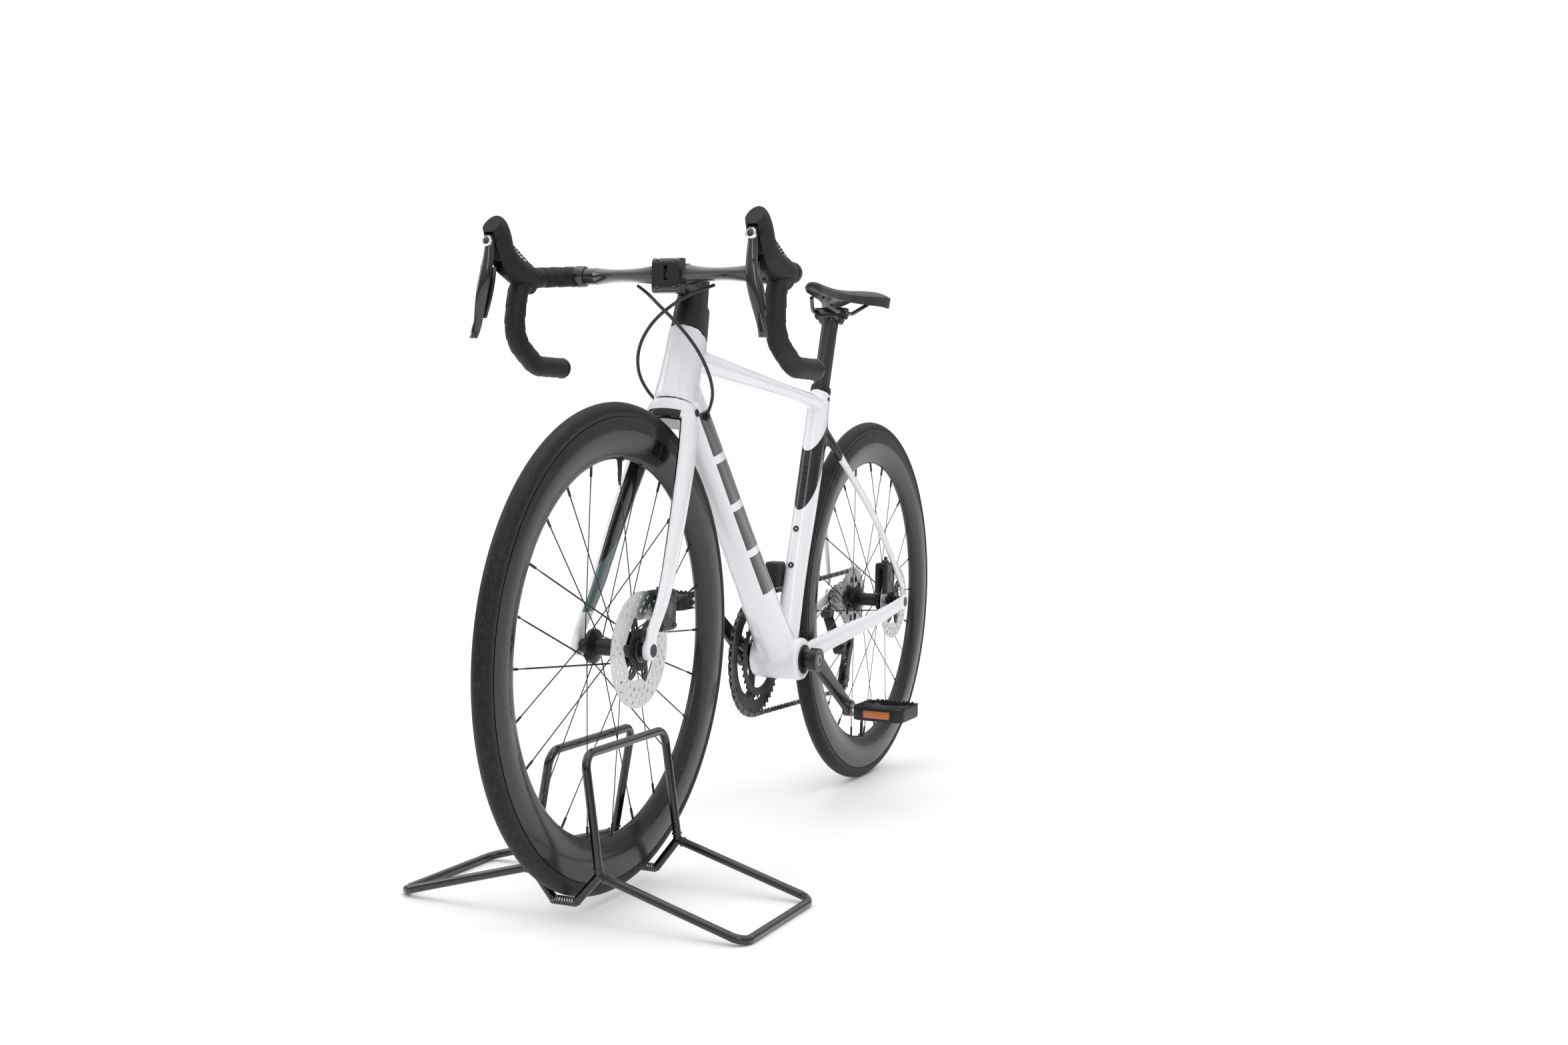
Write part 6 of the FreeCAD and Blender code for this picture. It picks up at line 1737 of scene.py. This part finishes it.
@dataclass
class Caliper:
    """Disc brake caliper: moulded body halves, bolts, pads and a hose fitting."""

    end: str
    middle: Vector
    overhang: float
    body: str

    def build(self) -> None:
        """Dress the body and build its fittings."""
        dress("black_alloy", self.end + "_caliper")
        bm = bmesh.new()
        outside = self.middle.y + self.overhang * MM
        cover = [(0, 1.2), (0.62, 1.2), (0.70, 0.3), (0.86, 0.3), (0.94, 1.0), (1.0, 0.2), (1.0, -1.5),
                 (0, -1.5)]
        turned(bm, [(11.0 * MM * share, y * MM) for share, y in cover],
               Vector((self.middle.x - 3 * MM, outside, self.middle.z + 6 * MM)), Y_AXIS, 36)
        for x, z in ((-19, 27), (13, 27), (-19, -17), (13, -17)):
            turned(bm, sized((0, 0.4), (1.6, 0.4), (2.0, 1.6), (3.6, 1.6), (4.0, 0.8), (4.0, -2), (0, -2)),
                   Vector((self.middle.x + x * MM, outside, self.middle.z + z * MM)), Y_AXIS, 20)
        finish_piece(self.end + "_caliper_bolts", bm, "grey_alloy", self.body)
        bm = bmesh.new()
        for y in (-2.1, 2.1):
            for index in range(5):
                low = self.middle + mm(-13 + index * 5.2, y - 0.55, 26)
                rounded_box(bm, low, low + mm(3.2, 1.1, 12.5), 0.3 * MM, 1)
        finish_piece(self.end + "_pad_fins", bm, "grey_alloy", self.body)
        bm = bmesh.new()
        top = self.middle + mm(-20, -6, 33.5)
        turned(bm, sized((0, -2), (5.0, -2), (5.2, 1.0), (3.4, 2.4), (3.2, 9), (2.7, 10), (0, 10)),
               top, Z_AXIS, 24)
        finish_piece(self.end + "_hose_fitting", bm, "black_gloss", self.body)


# ---------------------------------------------------------------- cockpit

class Cockpit:
    """Stem, bar, tape, hoods and levers."""

    bends = (38 * MM, 40 * MM, 46 * MM, 52 * MM)

    def bar_path(self, side: int, start: float = 150.0) -> list[Vector]:
        """Corners of one half of the bar from a start to the drop's end."""
        corners = [(0, start, 0), (0, 199, 0), (86, 203, -10), (96, 205, -96), (30, 207, -133),
                   (-45, 207, -133)]
        return [BAR + mm(x, side * y, z) for x, y, z in corners]

    def tape(self) -> None:
        """Wrap both halves in tape with a raised edge on every turn."""
        bm = bmesh.new()
        pitch = 21 * MM
        for side in (1, -1):
            points = rounded_path(self.bar_path(side), self.bends, 2.1 * MM)
            radius = 14.9 * MM
            places = path_places(points, [(radius, radius)] * len(points), X_AXIS)
            rings = sweep(bm, places, 26)
            run = 0.0
            for index, ring in enumerate(rings):
                if index:
                    run += (points[index] - points[index - 1]).length
                back = places[index].inverted()
                for vert in ring:
                    local = back @ vert.co
                    share = (run / pitch + side * atan2(local.y, local.x) / TURN) % 1.0
                    step = 0.9 * MM * (share - 0.55) if share > 0.10 else -1.3 * MM + share * 8.9 * MM
                    vert.co += (vert.co - points[index]).normalized() * step
        piece = finish_piece("wrapped_tape", bm, "bar_tape", "fork", 1.0)
        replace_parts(piece, "bar_tape")
        bm = bmesh.new()
        for side in (1, -1):
            start = BAR + mm(0, side * 141, 0)
            turned(bm, sized((12.3, 0), (14.4, 0.4), (15.5, 3.0), (15.9, 14.0), (15.4, 14.6), (12.3, 14.6)),
                   start, Y_AXIS * side, 40)
            end = self.bar_path(side)[-1]
            turned(bm, sized((0, 2.4), (7.0, 2.2), (12.0, 1.6), (15.4, 0.4), (15.8, -1.6), (15.0, -3.2),
                             (0, -3.2)),
                   end, -X_AXIS, 40)
        finish_piece("tape_finish_and_plugs", bm, "black_gloss", "fork")

    def stem(self) -> None:
        """Dress the stem and bar, and build the faceplate bolts and spacers' seams."""
        dress("matte_black", "stem", "headset_spacers")
        dress("black_gloss", "stem_faceplate")
        dress("bar_gloss", "handlebar")
        bm = bmesh.new()
        for z in (-20.5, 18.5):
            for y in (-14.0, 14.0):
                head = BAR + mm(13.6, y, z)
                turned(bm, sized((0, 1.0), (1.5, 1.0), (1.9, 4.6), (2.9, 4.6), (3.3, 4.0), (3.3, 0), (0, 0)),
                       head, X_AXIS, 20)
        finish_piece("faceplate_bolts", bm, "bright_steel", "fork")
        bm = bmesh.new()
        for height in (0.0, 10.2, 20.4, 30.6):
            centre = head_axis(HEAD_TOP) + HEAD_UP * (1.2 * MM + height * MM)
            shrink = height / 40.8
            lofted(bm, [outline(centre + HEAD_UP * up * MM, HEAD_AHEAD, Y_AXIS, 22.1 - shrink + grow,
                                60.1 - 8 * shrink + grow, 22.1 - shrink + grow, 1.0, 48)
                        for up, grow in ((0.0, -0.6), (0.3, 0.25), (1.0, 0.25), (1.3, -0.6))])
        finish_piece("spacer_seams", bm, "black_gloss", "fork")

    def lever_trim(self, side: int, name: str) -> None:
        """Build one lever's cap, its dark badge and its glossy blade face."""
        pivot = joint_place("brake_lever_" + name)
        bm = bmesh.new()
        front = pivot + mm(11.2, 0, -2.0)
        facing = Vector((0.98, 0, 0.2)).normalized()
        turned(bm, sized((0, 0.4), (4.4, 0.4), (4.9, 2.0), (6.6, 2.3), (7.6, 1.3), (7.6, -2), (0, -2)),
               front, facing, 32)
        finish_piece("lever_cap_" + name, bm, "chrome", "brake_lever_" + name)
        bm = bmesh.new()
        turned(bm, sized((0, 1.7), (3.2, 1.5), (4.3, 0.9), (4.3, 0.2), (0, 0.2)), front, facing, 32)
        finish_piece("lever_badge_" + name, bm, "black_gloss", "brake_lever_" + name)
        bm = bmesh.new()
        rows = [(7.6, 1.0, -36), (8.2, 3.4, -54), (7.8, 6.0, -72), (6.6, 10.0, -91), (5.6, 14.0, -110),
                (5.6, 18.6, -130)]
        points = [pivot + mm(x + 6.4, side * (y + 1.0), z) for x, y, z in rows]
        smooth = []
        for index in range(len(points) - 1):
            before, after = points[max(index - 1, 0)], points[min(index + 2, len(points) - 1)]
            smooth += [eased(before, points[index], points[index + 1], after, share)
                       for share in (0.0, 0.25, 0.5, 0.75)]
        smooth.append(points[-1])
        last = len(smooth) - 1
        wide = [(5.8 - 2.4 * min(1.0, index / (0.7 * last)) + (1.2 if index > last - 3 else 0.0)) * MM
                for index in range(last + 1)]
        sweep(bm, path_places(smooth, [(2.4 * MM, half) for half in wide], X_AXIS), 16)
        finish_piece("lever_face_" + name, bm, "lever_gloss", "brake_lever_" + name)
        dress("black_gloss", "brake_lever_" + name, "shift_paddle_" + name)

    def hood_trim(self, name: str) -> None:
        """Build one hood's grip ribs."""
        pivot = joint_place("brake_lever_" + name)
        bm = bmesh.new()
        for index in range(6):
            middle = Vector((BAR.x + (84 + 7 * index) * MM, pivot.y, BAR.z + (19.5 + 3.3 * index) * MM))
            ring = [middle + mm(0, 15.2 * sin(step * 0.17), -4.0 * (1 - cos(step * 0.17)) * 3.2)
                    for step in range(-6, 7)]
            sweep(bm, path_places(ring, [(0.8 * MM, 0.8 * MM)] * len(ring), X_AXIS), 8)
        finish_piece("hood_ribs_" + name, bm, "hood_rubber", "fork")
        dress("hood_rubber", "hood_" + name)

    def build(self) -> None:
        """Build the cockpit."""
        self.tape()
        self.stem()
        for side, name in ((1, "left"), (-1, "right")):
            self.lever_trim(side, name)
            self.hood_trim(name)


# ---------------------------------------------------------------- saddle

class Saddle:
    """Padded cover over a thin shell, with its rails, clamp and post."""

    nose: Vector = mm(-182.0, 0, 865)
    length: float = 247.0

    def width_at(self, share: float) -> float:
        """Half width at a share of the length from the nose."""
        marks = [(0.0, 13.0), (0.06, 16.5), (0.30, 21.0), (0.45, 28.0), (0.60, 41.0), (0.74, 55.0),
                 (0.88, 64.0), (0.96, 61.0), (1.0, 52.0)]
        for (near, small), (far, large) in zip(marks, marks[1:]):
            if share <= far:
                blend = (share - near) / (far - near)
                blend = blend * blend * (3 - 2 * blend) * 0.4 + blend * 0.6
                return small + (large - small) * blend
        return marks[-1][1]

    def top_at(self, share: float) -> float:
        """Height of the cover's middle above the rails."""
        return 47.0 - 5.0 * sin(pi * min(1.0, share * 1.25)) + 3.0 * max(0.0, share - 0.8) * 5

    def section(self, share: float) -> list[Vector]:
        """Closed ring round the saddle at a share of its length."""
        half = self.width_at(share)
        end = min(1.0, share / 0.05, (1.0 - share) / 0.04)
        round_off = sqrt(max(0.0, 1 - (1 - end) ** 2))
        top = self.top_at(share)
        thick = 14.0 + 22.0 * share
        dip = 2.6 * max(0.0, sin(pi * (share - 0.12) / 0.76)) if 0.12 < share < 0.88 else 0.0
        drop = 12.0 + 16.0 * max(0.0, share - 0.35)
        ring = []
        steps = 28
        for index in range(steps + 1):
            across = -1 + 2 * index / steps
            fall = abs(across) ** 3.2 * drop * 0.5 + abs(across) ** 2 * 3.0
            channel = dip * exp(-((across * half / 9.0) ** 2))
            z = top - fall - channel
            ring.append((across * half, z))
        for index in range(1, 9):
            angle = pi * index / 9
            edge = ring[steps]
            ring.append((edge[0] - 3.0 * (1 - cos(angle)) * 0.5,
                         edge[1] - thick * 0.55 * (1 - cos(angle)) * 0.5))
        lower = ring[-1][1]
        for index in range(1, 16):
            across = 1 - 2 * index / 16
            ring.append((across * (half - 3.0), lower + max(4.0, thick * 0.55 - 4.0) * (1 - across ** 4)))
        for index in range(1, 9):
            mirrored = ring[steps + 9 - index]
            ring.append((-mirrored[0], mirrored[1]))
        middle = sum(z for _, z in ring) / len(ring)
        x = -self.length * share
        return [self.nose + mm(x, y * (0.35 + 0.65 * round_off),
                               middle + (z - middle) * (0.25 + 0.75 * round_off)) for y, z in ring]

    def cover(self) -> None:
        """Build the padded cover with its shell under it."""
        bm = bmesh.new()
        even = [0.07 + 0.03 * index for index in range(29)]
        shares = [0.0, 0.004, 0.012, 0.025, 0.045, *even, 0.935, 0.96, 0.978, 0.99, 0.997, 1.0]
        lofted(bm, [self.section(share) for share in shares])
        piece = finish_piece("saddle_cover", bm, "saddle_cover", "saddle", 0.9)
        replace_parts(piece, "saddle")

    def build(self) -> None:
        """Build the saddle and dress what holds it."""
        self.cover()
        dress("dark_steel", "saddle_rails")
        dress("black_alloy", "saddle_clamp", "seat_clamp")
        dress("satin_carbon", "seatpost")
        bm = bmesh.new()
        middle = Vector((seat_axis(0.865).x, 0, 0.865))
        for y in (-29.0, 29.0):
            turned(bm, sized((0, 0), (2.4, 0), (2.8, 1.6), (5.4, 1.6), (6.0, 0.8), (6.0, -1.0), (0, -1.0)),
                   middle + mm(0, y, -4.0), Y_AXIS * copysign(1, y), 24)
        finish_piece("rail_clamp_bolts", bm, "grey_alloy", "seatpost")
        bm = bmesh.new()
        across_pin(bm, middle - Z_AXIS * 0.006, -19.0, 19.0, 15.5, 40)
        for y in (-21.5, 19.0):
            across_pin(bm, middle - Z_AXIS * 0.006, y, y + 2.5, 12.0, 40)
        neck = seat_axis(0.862)
        tube(bm, [(neck - SEAT_UP * 0.046, 19.0, 19.0, 13.0), (neck - SEAT_UP * 0.028, 17.5, 17.5, 14.0),
                  (neck - SEAT_UP * 0.012, 14.0, 14.0, 15.0)], SEAT_AHEAD)
        finish_piece("post_head", bm, "black_gloss", "seatpost")
        bm = bmesh.new()
        rear = seat_axis(SEAT_TUBE_TOP + 0.0045) - SEAT_AHEAD * 0.0225
        turned(bm, sized((0, 0), (1.4, 0), (1.7, 1.4), (2.9, 1.4), (3.1, 0.8), (3.1, -1.5), (0, -1.5)),
               rear, -SEAT_AHEAD, 20)
        hole = seat_axis(SEAT_TUBE_TOP - 0.012) + mm(0, 17.0, 0)
        turned(bm, sized((0, 0.2), (1.9, 0.2), (2.4, 0.7), (3.4, 0.6), (3.5, -1.5), (0, -1.5)),
               hole, Y_AXIS, 20)
        finish_piece("collar_bolts", bm, "black_alloy", "frame")


# ---------------------------------------------------------------- stand

class Stand:
    """Coil springs and weld beads of the floor stand."""

    rows = (0.613, 0.388)

    def spring_height(self, x: float) -> float:
        """Height of a spring that the tyre rests on."""
        return FRONT_AXLE.z - sqrt(0.3438 ** 2 - (x - FRONT_AXLE.x) ** 2)

    def spring(self, x: float, name: str) -> None:
        """Build one coil spring between the wings."""
        z = self.spring_height(x)
        turns = 10
        points = []
        for step in range(turns * 18 + 1):
            angle = TURN * step / 18
            y = 19.0 - 38.0 * step / (turns * 18)
            points.append(Vector((x, 0, z)) + mm(5.2 * cos(angle), y, 5.2 * sin(angle)))
        bm = bmesh.new()
        sweep(bm, path_places(points, [(1.3 * MM, 1.3 * MM)] * len(points), Y_AXIS), 9)
        piece = finish_piece("coil_spring_" + name, bm, "dark_steel", None, 1.0)
        if name == "front":
            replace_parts(piece, "stand_springs")
        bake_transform(piece)

    def bead(self, bm: BMesh, centre: Vector, axis: Vector, radius: float) -> None:
        """Add one lumpy weld bead round a tube."""
        side = axis.orthogonal().normalized()
        points = []
        for step in range(41):
            spoke = Matrix.Rotation(TURN * step / 40, 3, axis) @ side
            points.append(centre + spoke * ((radius + 0.15 * sin(step * 2.6)) * MM))
        sizes = [((1.3 + 0.25 * sin(step * 2.6)) * MM, (1.3 + 0.25 * sin(step * 2.6)) * MM)
                 for step in range(41)]
        sweep(bm, path_places(points, sizes, axis), 8)

    def build(self) -> None:
        """Build the stand's details."""
        dress("stand_coating", "stand_wing_left", "stand_wing_right")
        for x, name in zip(self.rows, ("front", "rear")):
            self.spring(x, name)
        for side, body, name in ((1, "stand", "left"), (-1, "stand_right_wing", "right")):
            bm = bmesh.new()
            for x in self.rows:
                elbow = Vector((x, side * 0.051, 0.066))
                floor = Vector((x, side * 0.260, 0.006))
                top = Vector((x, side * 0.026, 0.222))
                for far, reach in ((floor, 0.009), (top, 0.009)):
                    away = (far - elbow).normalized()
                    self.bead(bm, elbow + away * reach, away, 6.0)
            finish_piece("weld_beads_" + name, bm, "stand_coating", body, 1.2)


# ---------------------------------------------------------------- assembly

def dress_rest() -> None:
    """Give the remaining CAD nodes their finishes."""
    dress("black_alloy", "front_axle", "rear_axle")


def main() -> None:
    """Build every piece."""
    logging.basicConfig(level=logging.INFO, format="%(message)s")
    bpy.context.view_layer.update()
    Studio().build()
    Hoses().build()
    FrameShell().build()
    ForkShell().build()
    Wheel("front", FRONT_AXLE, left_flange=22.0, right_flange=32.0, disc_radius=80.0, disc_y=40.0,
          valve_turn=radians(92)).build()
    Wheel("rear", REAR_AXLE, left_flange=31.0, right_flange=18.0, disc_radius=70.0, disc_y=55.0,
          valve_turn=radians(272)).build()
    Drivetrain().build()
    Pedal("left", 1).build()
    Pedal("right", -1).build()
    Caliper("front", FRONT_AXLE + mm(-62, 40, 44), 12.0, "fork").build()
    Caliper("rear", REAR_AXLE + mm(52, 55, 42), 11.5, "frame").build()
    Cockpit().build()
    Saddle().build()
    Stand().build()
    dress_rest()


if __name__ == "__main__":
    main()
